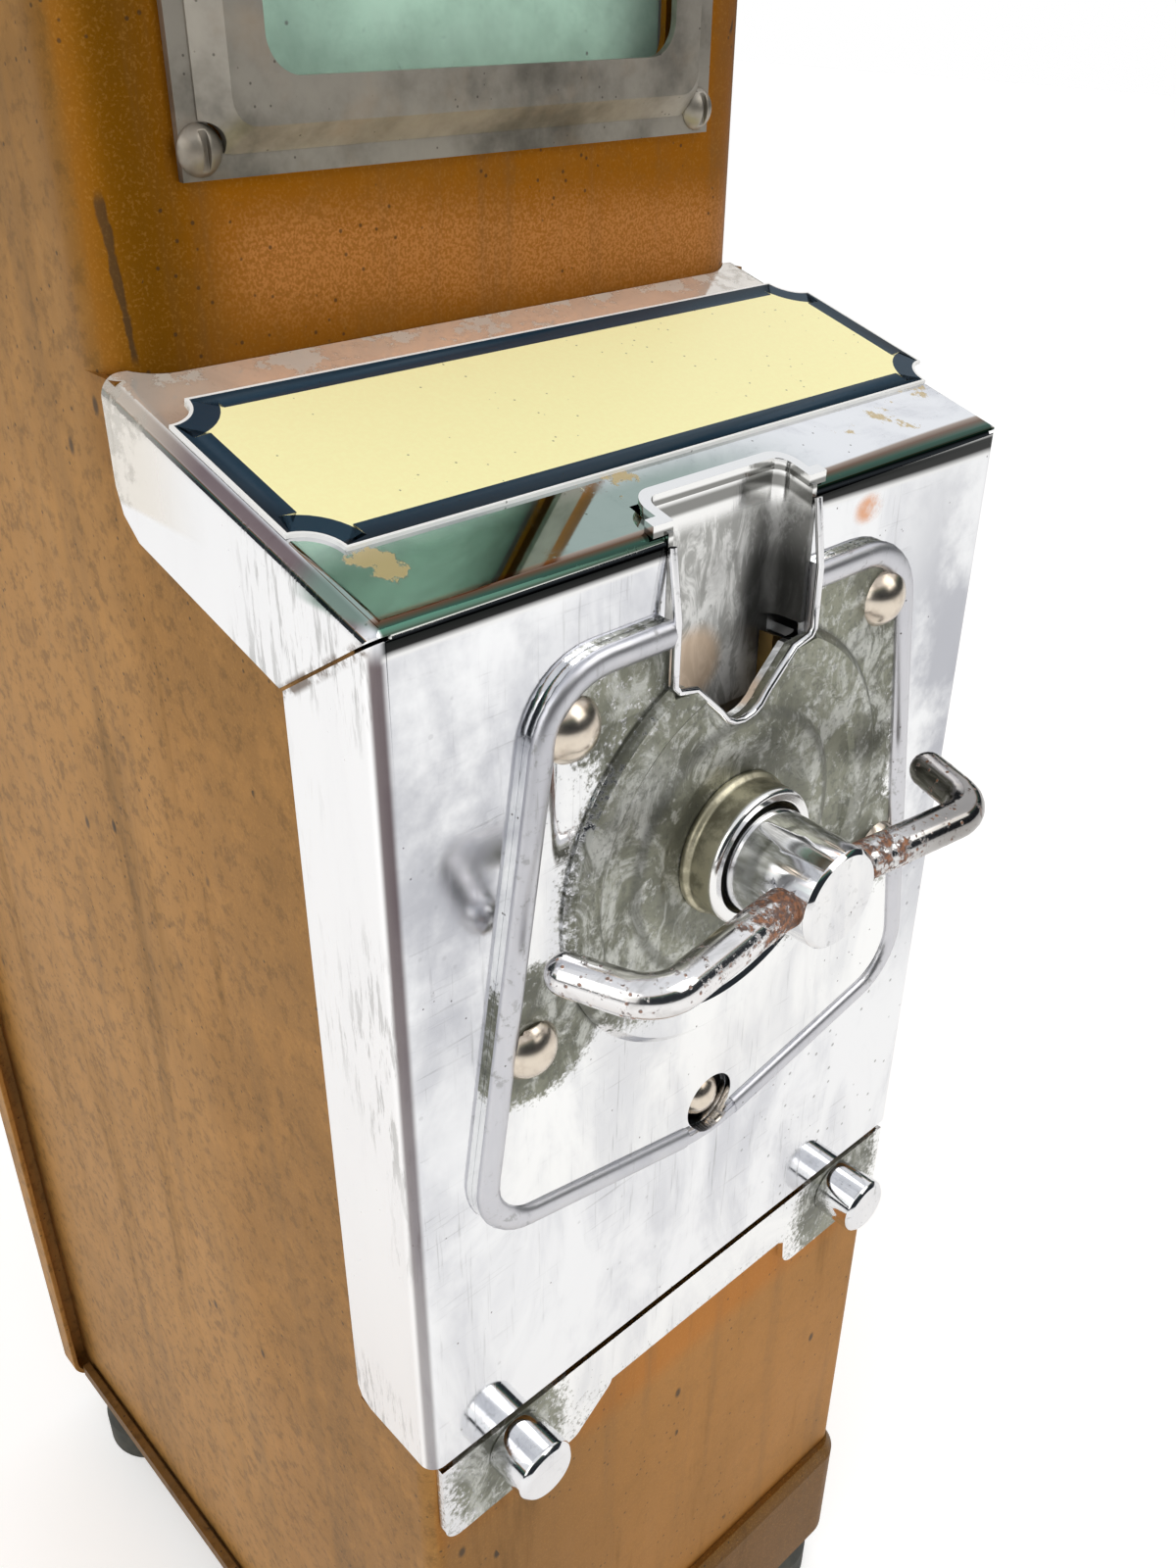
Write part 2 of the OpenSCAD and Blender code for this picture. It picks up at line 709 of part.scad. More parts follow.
// Flat plate with notched corners on the sloping top. Its right end reaches over the fold.
module instruction_plate() color("khaki") unit_frame() {
    across = 2.1;
    up_slope = 29.3;
    notch_r = 4.5;
    translate([across, 0, 0]) rotate([slope_deg, 0, 0]) translate([0, up_slope, 0]) linear_extrude(0.5)
        difference() {
            square([label_w, label_d], center = true);
            for (x = [-1, 1], y = [-1, 1]) translate([x * label_w / 2, y * label_d / 2]) circle(notch_r);
        }
}

// Strip with an ear at each end for a post, below its top edge
module strip_outline() {
    end = half_w - 1;
    narrow = 9.9;
    ear = 17.4;
    translate([0, -strip_top]) {
        translate([-end, -4]) square([2 * end, 4]);
        offset(r = 3) offset(delta = -3)
            polygon([[-end, 0], [-end, -ear], [3 - slot_half, -ear], [4 - slot_half, 1 - ear],
                     [11 - slot_half, -narrow - 0.6], [11 - slot_half, -narrow], [slot_half - 5, -narrow],
                     [slot_half - 3.5, -narrow - 1], [slot_half - 3, 1 - ear], [slot_half - 1, -ear],
                     [end, -ear], [end, 0]]);
    }
}

module delivery_strip() color("darkgray") unit_frame() difference() {
    union() {
        y_plate(0, strip_t) strip_outline();
        box([0.1 - chute_half, chute_half - 0.1], [0, 9], [-strip_top - 1, -strip_top]);
    }
    for (s = [-1, 1]) translate([s * post_x, 0, -post_drop]) y_cyl(post_shank + 0.05, -1, 9);
}

module delivery_posts() color("silver") unit_frame() at_both(post_x) translate([0, 0, -post_drop]) {
    turned() polygon([[0, 0], [post_r, 0], [post_r, post_out - 0.8], [post_r - 0.8, post_out],
                      [0, post_out]]);
    y_cyl(post_shank, -1, panel_y + panel_t);
}

module face_screw() color("tan") unit_frame() translate([0, 0, -face_screw_drop]) {
    intersection() {
        translate([0, 2.6, 0]) sphere(3.9);
        y_cyl(5, -2, 2.3);
    }
    y_cyl(2, 2.2, front_plate_back + 2.5);
    y_cyl(3.6, front_plate_back, front_plate_back + 2.5);
}

// ---------------------------------------------------------------- sign window

module screw_places() {
    for (x = [-bezel_hole_x, bezel_hole_x], z = [-bezel_hole_z, bezel_hole_z])
        translate([x, 0, bezel_mid + z]) children();
}

module bezel_holes(r) {
    screw_places() y_cyl(r, step_back - 10, step_back + 12);
}

// The pressed border: sunk from the raised edge of the opening to the flat outer lip
module bezel_block(o) {
    hull() {
        y_plate(step_back - 1.2, step_back - 1 + o) round_rect(bezel_w - 5 - 2 * o, bezel_h - 5 - 2 * o, 4, $fn = 24);
        y_plate(step_back - bezel_proud + o, step_back - bezel_proud + o + 0.2)
            round_rect(bezel_w - 11 - 2 * o, bezel_h - 11 - 2 * o, 3, $fn = 24);
    }
}

module window_bezel() color("dimgray") unit_frame() difference() {
    union() {
        y_plate(step_back - 1, step_back) translate([0, bezel_mid]) square([bezel_w, bezel_h], center = true);
        translate([0, 0, bezel_mid]) bezel_block(0);
    }
    translate([0, 0.1, bezel_mid]) bezel_block(0.9);
    y_plate(step_back - 0.9, step_back + 1) translate([0, bezel_mid])
        square([bezel_w - 8, bezel_h - 8], center = true);
    y_plate(step_back - 9, step_back + 1) translate([0, bezel_mid])
        round_rect(opening_w, opening_h, opening_r);
    bezel_holes(bezel_shank + 0.1);
    screw_places() y_cyl(screw_head_r + 0.1, step_back - 9, step_back - 1);
}

module bezel_screws() color("silver") unit_frame() screw_places() {
    translate([0, step_back - 1, 0]) difference() {
        dome(screw_head_r, screw_dome);
        box([-0.45, 0.45], [-5, 0.9 - screw_dome], [-5, 5]);
    }
    y_cyl(bezel_shank, step_back - 1.5, backing_y + backing_t + 3);
}

module bezel_nuts() color("silver") unit_frame() screw_places() difference() {
    translate([0, backing_y + backing_t + 2.2, 0]) rotate([90, 0, 0]) cylinder(r = 3.2, h = 2.2, $fn = 6);
    y_cyl(bezel_shank, step_back, step_back + 20);
}

module window_glass() color("powderblue", 0.35) unit_frame() y_plate(glass_y, glass_y + glass_t)
    translate([0, bezel_mid]) square([opening_w + 8, opening_h + 8], center = true);

module display_card() color("mediumseagreen") unit_frame() y_plate(card_y, card_y + card_t)
    translate([0, bezel_mid]) square([opening_w + 8, opening_h + 8], center = true);

module card_backing() color("gray") unit_frame() difference() {
    y_plate(backing_y, backing_y + backing_t) translate([0, bezel_mid]) square([bezel_w, bezel_h], center = true);
    bezel_holes(bezel_shank + 0.1);
}

// ---------------------------------------------------------------- mechanism frame

module frame_flanges(a, b, z0, z1) {
    for (s = [-1, 1]) box([s < 0 ? -in_half : in_half - 1.5, s < 0 ? 1.5 - in_half : in_half], [a, b], [z0, z1]);
}

module spacer_places() {
    for (x = [-spacer_x, spacer_x], z = [-spacer_top, -spacer_low]) translate([x, 0, z]) children();
}

module guide_places() {
    for (x = [-guide_x, guide_x]) translate([x, 0, -guide_drop]) children();
}

module mech_front_plate() color("lightsteelblue") unit_frame() difference() {
    union() {
        y_plate(front_plate_y, front_plate_back)
            translate([-in_half, -plate_low_drop]) square([2 * in_half, plate_low_drop - 8]);
        frame_flanges(front_plate_y, front_plate_y + 9, -plate_low_drop, -22);
    }
    on_axis() y_cyl(shaft_r + run_gap, 0, 20);
    spacer_places() y_cyl(1.6, 0, 20);
    guide_places() y_cyl(guide_r - 0.9, 0, 20);
    translate([0, 0, -face_screw_drop]) y_cyl(2.05, 0, 20);
    stud_places(pawl = true) y_cyl(1.6, 0, 20);
    stud_places(pawl = false) y_cyl(1, 0, 20);
}

module mech_rear_plate() color("lightsteelblue") unit_frame() difference() {
    union() {
        y_plate(rear_plate_y, rear_plate_back)
            translate([-in_half, -plate_low_drop]) square([2 * in_half, plate_low_drop - 5]);
        frame_flanges(rear_plate_y - 7.5, rear_plate_back, -plate_low_drop, -22);
    }
    on_axis() y_cyl(shaft_r + run_gap, 50, 90);
    spacer_places() y_cyl(1.6, 50, 90);
    guide_places() y_cyl(guide_r, 50, 90);
    at_both(rail_x) box([-rail_t / 2 - 0.6, rail_t / 2 + 0.6], [50, 90], [-bar_low - 20.5, -bar_low - 2]);
}

module frame_spacers() color("silver") unit_frame() spacer_places() {
    y_cyl(spacer_r, front_plate_back, rear_plate_y);
    y_cyl(1.6, front_plate_y - 0.4, rear_plate_back + 3);
    translate([0, rear_plate_back + 2.4, 0]) rotate([90, 0, 0]) cylinder(r = 3.4, h = 2.4, $fn = 6);
}

// The pawl's stud, or the two stop pins
module stud_places(pawl) {
    on_axis() if (pawl) translate([pawl_x, 0, 0]) children();
    else for (a = [-90 + stop_pin_deg, -90 - handle_turn - stop_pin_deg])
        translate([stop_pin_at * cos(a), 0, stop_pin_at * sin(a)]) children();
}

module plate_studs() color("silver") unit_frame() {
    stud_places(pawl = true) {
        y_cyl(1.6, front_plate_y, front_plate_back + 1);
        y_cyl(4, front_plate_back, ratchet_y - gap);
        y_cyl(stud_r, front_plate_back, ratchet_y + ratchet_t + gap);
        y_cyl(4, ratchet_y + ratchet_t + gap, ratchet_y + ratchet_t + gap + 1.2);
    }
    stud_places(pawl = false) {
        y_cyl(1, front_plate_y, front_plate_back + 1);
        y_cyl(stop_pin_r, front_plate_back, ratchet_y + ratchet_t);
    }
}

module guide_rods() color("silver") unit_frame() guide_places() {
    y_cyl(guide_r, front_plate_back, rod_end_y + 2);
    y_cyl(guide_r - 0.9, front_plate_y, front_plate_back + 1);
}

// ---------------------------------------------------------------- coin and packet ways

// A ring round the coin wheel: it keeps the coin in its pocket, and is open at the scoop and at the chute
module coin_race() color("burlywood") unit_frame() on_axis() y_plate(wheel_y, front_plate_y) difference() {
    circle(race_r);
    circle(race_r - race_t);
    scoop_deg = 31;
    exit_from = handle_turn - 28;
    exit_to = handle_turn + 30;
    polygon([[0, 0], 60 * [-sin(scoop_deg), cos(scoop_deg)], 60 * [sin(scoop_deg), cos(scoop_deg)]]);
    polygon([[0, 0], 60 * [sin(exit_from), cos(exit_from)], 60 * [sin(exit_to), cos(exit_to)]]);
}

// Outline of the coin's way: from under the wheel, past the face screw, down the right-hand side,
// and back in over the cash box
module coin_way() {
    screw_side = 2 + 1.4;
    bend = -plate_low_drop - 12;
    duct_end = duct_x + duct_w;
    foot_bend = -strip_top - 6;
    inward = duct_end - (cash_half - cash_t - 0.6);   // it drops the coin inside the cash box's wall
    polygon([[-4, -axis_drop - wheel_r + 6], [-4, -axis_drop - wheel_r - 2],
             [screw_side, -face_screw_drop + 3], [screw_side, -face_screw_drop - 2.5],
             [duct_x, bend], [duct_x, foot_bend], [duct_x - inward, duct_low - 2],
             [duct_end - inward, duct_low - 2], [duct_end, foot_bend + 6],
             [duct_end, bend + duct_w * 0.45], [screw_side + duct_w * 0.85, -face_screw_drop + duct_w * 0.5],
             [screw_side + duct_w * 0.85, -axis_drop - wheel_r + 6]]);
}

module coin_chute() color("burlywood") unit_frame() {
    a = wheel_y - 0.6;
    difference() {
        y_plate(a, scoop_back + scoop_t) offset(delta = chute_t) coin_way();
        y_plate(a + 0.6, scoop_back + 0.2) coin_way();
        on_axis() y_cyl(race_r + 0.2, 0, 9);
        box([0, 60], [-1, 9], [-unit_h, duct_low]);
    }
}

module cash_box() color("rosybrown") unit_frame() translate([0, 0, cash_low]) difference() {
    box([-cash_half, cash_half], [8, cab_rear - 8], [0, cash_h]);
    box([cash_t - cash_half, cash_half - cash_t], [8 + cash_t, cab_rear - 8 - cash_t], [cash_t, cash_h + 1]);
}

module packet_chute() color("lightgray") unit_frame() {
    y0 = panel_y + panel_t + 0.6;
    y1 = rear_plate_back;
    z0 = -strip_top - 1.1;
    z1 = -plate_low_drop - 0.2;
    difference() {
        x_plate(-chute_half - chute_t, chute_half + chute_t)
            polygon([[y0, z0 - chute_t], [9.2, z0 - chute_t], [y1, z1 - chute_t], [y1, z1],
                     [y0 + 14, z0 + 22], [y0, z0 + 12]]);
        x_plate(-chute_half, chute_half)
            polygon([[y0 - 1, z0], [9.2, z0], [y1 + 1, z1 + 0.5], [y1 + 1, z1 + 40], [y0 - 1, z1 + 40]]);
    }
}

module magazine_outline(o) {
    translate([-mag_w / 2 - o, mag_y - o]) square([mag_w + 2 * o, mag_d + 2 * o]);
}

module magazine() color("thistle") unit_frame() difference() {
    translate([0, 0, -mag_low]) linear_extrude(mag_h) difference() {
        magazine_outline(mag_t);
        magazine_outline(0);
        translate([-mag_w / 2 + 8, mag_back - 1]) square([mag_w - 16, 4]);
    }
    box([-6, 6], [mag_y - 2, mag_y + 1], [-mag_low + 12, -mag_low + mag_h - 12]);
}

module magazine_floor() color("lightsteelblue") unit_frame() difference() {
    union() {
        box([-in_half, in_half], [rear_plate_back + 6.5, rod_end_y + 3], [-floor_drop - sheet, -floor_drop]);
        frame_flanges(rear_plate_back + 6.5, rod_end_y + 3, -floor_drop - 12, -floor_drop);
        for (s = [-1, 1]) box([s * guide_x - 7, s * guide_x + 7], [rod_end_y, rod_end_y + 1.5],
                              [-floor_drop - sheet, -guide_drop + 6]);
    }
    guide_places() y_cyl(guide_r, rod_end_y - 2, rod_end_y + 4);
}

module magazine_straps() color("lightsteelblue") unit_frame()
    for (s = [-1, 1], z = [-30, 100]) {
        x0 = mag_w / 2 + mag_t;
        mirror([s < 0 ? 1 : 0, 0, 0]) {
            box([x0, in_half], [mag_y + 6, mag_y + 26], [z, z + 1.2]);
            box([x0, x0 + 1.2], [mag_y + 6, mag_y + 26], [z - 10, z + 1.2]);
            box([in_half - 1.2, in_half], [mag_y + 6, mag_y + 26], [z - 10, z + 1.2]);
        }
    }

module follower_weight() color("slategray") unit_frame() {
    low = -mag_low + 0.2;
    difference() {
        box([-mag_w / 2 + 0.6, mag_w / 2 - 0.6], [mag_y + 0.6, mag_back - 0.6], [low, low + weight_h]);
        translate([0, mag_back + 1, low + weight_h / 2]) rotate([90, 0, 0]) cylinder(r = 4, h = 16);
    }
    box([-5, 5], [mag_y - mag_t - 1.5, mag_y + 0.7], [-mag_low + 12 + gap, low + weight_h]);
}

// ---------------------------------------------------------------- handle and what turns with it

module handle_hub() color("silver") unit_frame() on_axis() difference() {
    turned() polygon([[0, hub_start], [hub_base_r, hub_start], [hub_r, hub_reach - 0.6],
                      [hub_r - 0.6, hub_reach], [0, hub_reach]]);
    y_cyl(shaft_r, -shaft_front, 0);
    translate([-20, -rod_out, 0]) rotate([0, 90, 0]) cylinder(r = rod_r, h = 40);
}

// One round section of the rod: its middle, the way it heads, and its radius
function station(p, heading, r = rod_r) = [p[0], p[1], heading, r];

// Stations round an elbow that starts at p and turns from heading a to heading b
function elbow(p, r, a, b, n) = let (s = sign(b - a))
    [for (i = [1:n]) let (h = a + (b - a) * i / n)
        station(p + s * r * [sin(h) - sin(a), cos(a) - cos(h)], h)];

function last(v) = v[len(v) - 1];
function ahead(st, l) = [st[0] + l * cos(st[2]), st[1] + l * sin(st[2])];

// The right half of the rod, from its middle out to its rounded end
function half_rod() = let (
    start = station([0, -rod_out], 0),
    straight = station(ahead(start, bow_start), 0),
    bow = elbow(straight, bow_r, 0, -bow_deg, 2),
    arm = station(ahead(last(bow), bow_len), -bow_deg),
    turn = elbow(arm, elbow_r, -bow_deg, leg_deg, 10),
    leg = station(ahead(last(turn), leg_len), leg_deg),
    tip = [for (a = [18:18:90]) station(ahead(leg, rod_r * sin(a)), leg_deg, max(rod_r * cos(a), 0.1))])
    concat([start, straight], bow, [arm], turn, [leg], tip);

module handle_bar() color("gainsboro") unit_frame() on_axis() {
    half = half_rod();
    n = 20;
    rings = concat([for (i = [len(half) - 1:-1:1]) let (h = half[i]) [-h[0], h[1], -h[2], h[3]]], half);
    last_ring = (len(rings) - 1) * n;
    polyhedron(
        [for (q = rings, j = [0:n - 1]) let (a = 360 * j / n)
            [q[0] - q[3] * sin(q[2]) * cos(a), q[1] + q[3] * cos(q[2]) * cos(a), q[3] * sin(a)]],
        concat(
            [[for (j = [0:n - 1]) j]],
            [for (i = [0:len(rings) - 2], j = [0:n - 1]) let (k = (j + 1) % n)
                [i * n + j, (i + 1) * n + j, (i + 1) * n + k]],
            [for (i = [0:len(rings) - 2], j = [0:n - 1]) let (k = (j + 1) % n)
                [i * n + j, (i + 1) * n + k, i * n + k]],
            [[for (j = [n - 1:-1:0]) last_ring + j]]));
}

module main_shaft() color("silver") unit_frame() on_axis() y_cyl(shaft_r, -shaft_front, shaft_back);

module coin_wheel() color("goldenrod") unit_frame() on_axis() difference() {
    y_cyl(wheel_r, wheel_y, wheel_y + wheel_t);
    y_cyl(shaft_r, 0, 20);
    pocket_r = coin_d / 2 + 0.3;
    translate([0, 0, wheel_r - pocket_r]) {
        y_cyl(pocket_r, 0, 20);
        box([-pocket_r, pocket_r], [0, 20], [0, wheel_r]);
    }
    for (a = [150, 210]) rotate([0, a, 0]) translate([0, 0, wheel_r * 0.62]) y_cyl(5, 0, 20);
}

// Outline of the ratchet wheel: a round hub, teeth over the stroke, and a horn that meets the stops
module ratchet_outline() {
    circle(ratchet_root);
    first = handle_turn / 2 - tooth_pitch * (tooth_count - 1) / 2;
    for (i = [0:tooth_count - 1]) rotate(first + i * tooth_pitch)
        polygon([[10, -3.1], [ratchet_root - 1, -2.6], [ratchet_tip, -0.5], [ratchet_tip, 0.5],
                 [ratchet_root - 1, 2.6], [10, 3.1]]);
    rotate(-90) intersection() {
        circle(horn_r);
        polygon([[0, 0], 40 * [cos(horn_half), -sin(horn_half)], 40 * [cos(horn_half), sin(horn_half)]]);
    }
}

module ratchet_wheel() color("darkgoldenrod") unit_frame() on_axis() difference() {
    y_plate(ratchet_y, ratchet_y + ratchet_t) ratchet_outline();
    y_cyl(shaft_r, 0, 90);
}

// Barrel with a helical groove: the groove's middle climbs one travel in one turn of the handle
module drive_cam() color("slategray") unit_frame() on_axis() difference() {
    y_cyl(cam_r, cam_y, cam_back);
    y_cyl(shaft_r, 0, 90);
    per_mm = handle_turn / travel;
    h = travel + 2 * groove_e;
    lead_deg = atan(travel / (handle_turn * PI / 180 * cam_r));
    w = 2 * (pin_r + gap) / sin(lead_deg);
    translate([0, pin_y + groove_e, 0]) rotate([90, 0, 0])
        linear_extrude(h, twist = -per_mm * h, slices = 30, segments = 4)
            rotate(270 - per_mm * groove_e) translate([cam_r - groove_d, -w / 2]) square([groove_d + 2, w]);
}

module shaft_collar() color("silver") unit_frame() on_axis() difference() {
    y_cyl(shaft_r + 3.5, collar_y, shaft_back);
    y_cyl(shaft_r, 0, 90);
}

// ---------------------------------------------------------------- ejector, pawl

module ejector_yoke() color("lightcoral") unit_frame() difference() {
    union() {
        box([-guide_x - lug_half, guide_x + lug_half], [pin_y - bar_half_d, pin_y + bar_half_d],
            [-bar_low, -bar_top]);
        at_both(rail_x) box([-rail_t / 2, rail_t / 2], [pin_y - bar_half_d, yoke_back],
                            [-blade_drop - blade_t, -bar_low - 2.6]);
        at_both(rail_x) box([-rail_t / 2, rail_t / 2], [pin_y - bar_half_d, pin_y + bar_half_d],
                            [-bar_low - 3, -bar_low + 1]);
        box([-rail_x, rail_x], [blade_y, yoke_back], [-blade_drop - blade_t, -blade_drop]);
        for (s = [-1, 1]) box([s < 0 ? -guide_x - lug_half : rail_x - rail_t / 2,
                               s < 0 ? -rail_x + rail_t / 2 : guide_x + lug_half],
                              [yoke_back - 4, yoke_back], [-blade_drop - blade_t, -bar_top]);
    }
    guide_places() y_cyl(guide_r + run_gap, 0, 150);
    translate([0, pin_y, -bar_low - 1]) cylinder(r = pin_r, h = 30);
}

module cam_pin() color("gold") unit_frame() translate([0, pin_y, -bar_low])
    cylinder(r = pin_r, h = bar_low - axis_drop - cam_r + groove_d - 0.7);

module pawl_outline() {
    hull() {
        circle(pawl_eye_r, $fn = 32);
        translate([-pawl_len + pawl_tip_r, 0]) circle(pawl_tip_r, $fn = 32);
    }
}

module pawl() color("orange") unit_frame() on_axis() translate([pawl_x, 0, 0]) difference() {
    y_plate(ratchet_y, ratchet_y + ratchet_t) rotate(pawl_tilt) pawl_outline();
    y_cyl(stud_r + run_gap, 0, 90);
}

// ---------------------------------------------------------------- rear door, hinges and lock

module door_outline(o) {
    h = door_top + door_low;
    translate([0, (door_top - door_low) / 2 - unit_h]) round_rect(2 * (door_half - o), h - 2 * o, door_r - o);
}

module back_door() color("peru") unit_frame() difference() {
    y_plate(door_back - door_pan, door_back) door_outline(0);
    y_plate(door_back - door_pan - 1, door_y) door_outline(door_t);
    translate([lock_x, 0, lock_z - unit_h]) y_cyl(barrel_r + 0.1, 100, 200);
}

module hinge_places() {
    for (z = hinge_zs) translate([hinge_x, hinge_y, z - unit_h]) children();
}

knuckle_gap = 0.25;
knuckle_l = (hinge_l - 2 * knuckle_gap) / 3;

module hinge_leaves_cabinet() color("darkkhaki") unit_frame() hinge_places() {
    difference() {
        union() {
            for (s = [-1, 1]) {
                translate([0, 0, s * (knuckle_l + knuckle_gap) - knuckle_l / 2])
                    cylinder(r = knuckle_r, h = knuckle_l);
                box([-knuckle_r - 0.3, -knuckle_r + 0.5], [-3, 0],
                    [s * (knuckle_l + knuckle_gap) - knuckle_l / 2,
                     s * (knuckle_l + knuckle_gap) + knuckle_l / 2]);
            }
            box([-knuckle_r - 0.3, -knuckle_r + 0.5], [-14, -knuckle_r - 0.5], [-hinge_l / 2, hinge_l / 2]);
        }
        translate([0, 0, -50]) cylinder(r = hinge_pin_r, h = 100);
        for (s = [-1, 1]) translate([-9, -8, s * hinge_l / 3]) rotate([0, 90, 0]) cylinder(r = 1, h = 9);
    }
}

module hinge_pins() color("silver") unit_frame() hinge_places() {
    translate([0, 0, -hinge_l / 2 - 0.8]) cylinder(r = hinge_pin_r, h = hinge_l + 0.8);
    translate([0, 0, hinge_l / 2]) cylinder(r = hinge_pin_r + 0.6, h = 1);
}

module hinge_leaves_door() color("darkkhaki") unit_frame() hinge_places() difference() {
    x0 = door_half - hinge_x;
    union() {
        translate([0, 0, -knuckle_l / 2]) cylinder(r = knuckle_r, h = knuckle_l);
        box([x0, x0 + leaf_t], [0, 3], [-knuckle_l / 2, knuckle_l / 2]);
        box([x0, x0 + leaf_t], [2.9, door_back - hinge_y - 0.8], [-hinge_l / 2, hinge_l / 2]);
    }
    translate([0, 0, -50]) cylinder(r = hinge_pin_r + run_gap, h = 100);
}

module at_lock() {
    unit_frame() translate([lock_x, 0, lock_z - unit_h]) children();
}

module lock_barrel() color("silver") at_lock() difference() {
    union() {
        y_cyl(barrel_r, door_back - barrel_in, door_back + 0.5);
        y_cyl(barrel_r + 2, door_back, door_back + lock_head);
    }
    y_cyl(plug_r + run_gap, 100, 200);
}

module lock_nut() color("silver") at_lock() difference() {
    translate([0, door_y, 0]) rotate([90, 0, 0]) cylinder(r = 12.5, h = 3, $fn = 6);
    y_cyl(barrel_r, 100, 200);
}

module lock_plug() color("gold") at_lock() difference() {
    inner = door_back - barrel_in;
    union() {
        y_cyl(plug_r, inner - 0.3, door_back + lock_head - 0.2);
        y_cyl(cam_seat_r, inner - 0.3 - lock_cam_t - 2.4, inner);
    }
    box([-0.6, 0.6], [door_back + lock_head - 5, door_back + lock_head + 1], [-3, 3]);
}

module lock_cam() color("silver") at_lock() difference() {
    inner = door_back - barrel_in - 0.3;
    y_plate(inner - lock_cam_t, inner) {
        circle(7);
        translate([-5, 0]) square([10, 13]);
        translate([0, 13]) circle(5);
    }
    y_cyl(cam_seat_r, 100, 200);
}

module cam_nut() color("silver") at_lock() difference() {
    inner = door_back - barrel_in - 0.3 - lock_cam_t;
    translate([0, inner, 0]) rotate([90, 0, 0]) cylinder(r = 5.5, h = 2.2, $fn = 6);
    y_cyl(cam_seat_r, 100, 200);
}

module lock_strike() color("silver") unit_frame() translate([0, 0, lock_z - unit_h]) {
    inner = door_back - barrel_in;
    box([-in_half, -in_half + 8], [inner + 0.6, inner + 1.8], [-12, 12]);
    box([-in_half, -in_half + 1.2], [inner - 9, inner + 1.8], [-12, 12]);
}

cabinet_shell();
front_panel();
top_cap();
base_pan();
feet();
foot_screws();
coin_cover();
face_plate();
dial_boss();
face_rivets();
hub_collar();
coin_scoop();
instruction_plate();
delivery_strip();
delivery_posts();
face_screw();
window_bezel();
bezel_screws();
bezel_nuts();
window_glass();
display_card();
card_backing();
mech_front_plate();
mech_rear_plate();
frame_spacers();
plate_studs();
guide_rods();
coin_race();
coin_chute();
cash_box();
packet_chute();
magazine();
magazine_floor();
magazine_straps();
hinge_leaves_cabinet();
hinge_pins();
lock_strike();
handle_hub();
handle_bar();
main_shaft();
coin_wheel();
ratchet_wheel();
drive_cam();
shaft_collar();
ejector_yoke();
cam_pin();
pawl();
follower_weight();
back_door();
hinge_leaves_door();
lock_barrel();
lock_nut();
lock_plug();
lock_cam();
cam_nut();
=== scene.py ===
"""Counter-top stamp vending machine: the finish of every surface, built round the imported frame."""

import json
import math

import bmesh
import bpy
from bpy.props import FloatProperty, FloatVectorProperty, PointerProperty
from mathutils import Matrix, Vector
from mathutils.geometry import convex_hull_2d

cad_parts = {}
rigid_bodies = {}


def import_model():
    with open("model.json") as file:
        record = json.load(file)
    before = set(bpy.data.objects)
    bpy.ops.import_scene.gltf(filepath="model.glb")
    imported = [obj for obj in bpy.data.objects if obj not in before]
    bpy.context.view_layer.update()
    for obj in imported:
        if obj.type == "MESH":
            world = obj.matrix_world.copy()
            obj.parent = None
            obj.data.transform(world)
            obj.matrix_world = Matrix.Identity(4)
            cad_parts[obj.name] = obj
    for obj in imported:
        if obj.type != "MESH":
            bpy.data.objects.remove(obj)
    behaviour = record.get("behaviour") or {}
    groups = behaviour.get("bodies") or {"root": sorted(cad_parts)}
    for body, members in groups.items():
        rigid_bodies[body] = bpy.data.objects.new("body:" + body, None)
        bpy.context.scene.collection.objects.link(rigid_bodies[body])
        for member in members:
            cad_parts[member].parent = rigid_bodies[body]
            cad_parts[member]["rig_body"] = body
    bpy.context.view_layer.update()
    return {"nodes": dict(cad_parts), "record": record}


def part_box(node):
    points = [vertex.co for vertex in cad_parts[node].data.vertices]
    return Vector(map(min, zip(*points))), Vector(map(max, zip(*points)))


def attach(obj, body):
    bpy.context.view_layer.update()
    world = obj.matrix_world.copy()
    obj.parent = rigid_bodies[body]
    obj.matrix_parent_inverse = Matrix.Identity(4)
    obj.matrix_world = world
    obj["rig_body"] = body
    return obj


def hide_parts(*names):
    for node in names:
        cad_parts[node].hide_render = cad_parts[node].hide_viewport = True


bl_info = {
    "name": "Stamp Vending Machine",
    "version": (1, 0, 0),
    "blender": (4, 5, 0),
    "location": "View3D > Sidebar > Stamp Machine",
    "description": "Dresses a counter-top stamp vending machine in worn enamel and chrome",
    "category": "Object",
}

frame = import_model()
MM = 0.001

# The coin unit's own frame: depth runs back from the cover's face, and drop runs down from its top fold.
COVER_H = 134 * MM
COVER_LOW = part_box("coin_cover")[0]
FACE_Y = COVER_LOW.y
FOLD_Z = COVER_LOW.z + COVER_H

# The coin unit's own sizes, in millimetres
COVER_RISE = 0.288              # how far the slope rises for each millimetre that it runs back
COVER_HALF = 54.3               # from the middle to the cover's side folds
AXIS_DROP = 46.6                # the handle's axis, below the top fold
PLATE_T = 1.2                   # the face plate's thickness
PLATE_TOP, PLATE_LOW = 10, 101  # the face plate's top and foot, below the top fold
PLATE_LOW_UP = 18               # the lower corners' centres, above the plate's foot
PLATE_TOP_HALF, PLATE_LOW_HALF = 36, 45.5
# the radii of the top corners, the lower corners and the foot
PLATE_TOP_ROUND, PLATE_LOW_ROUND, PLATE_FOOT_ROUND = 12, 11, 30


def at(x, depth, drop):
    """A place given in millimetres across, behind the cover's face and below its top fold."""
    return Vector((x * MM, FACE_Y + depth * MM, FOLD_Z - drop * MM))


# ---------------------------------------------------------------- settings


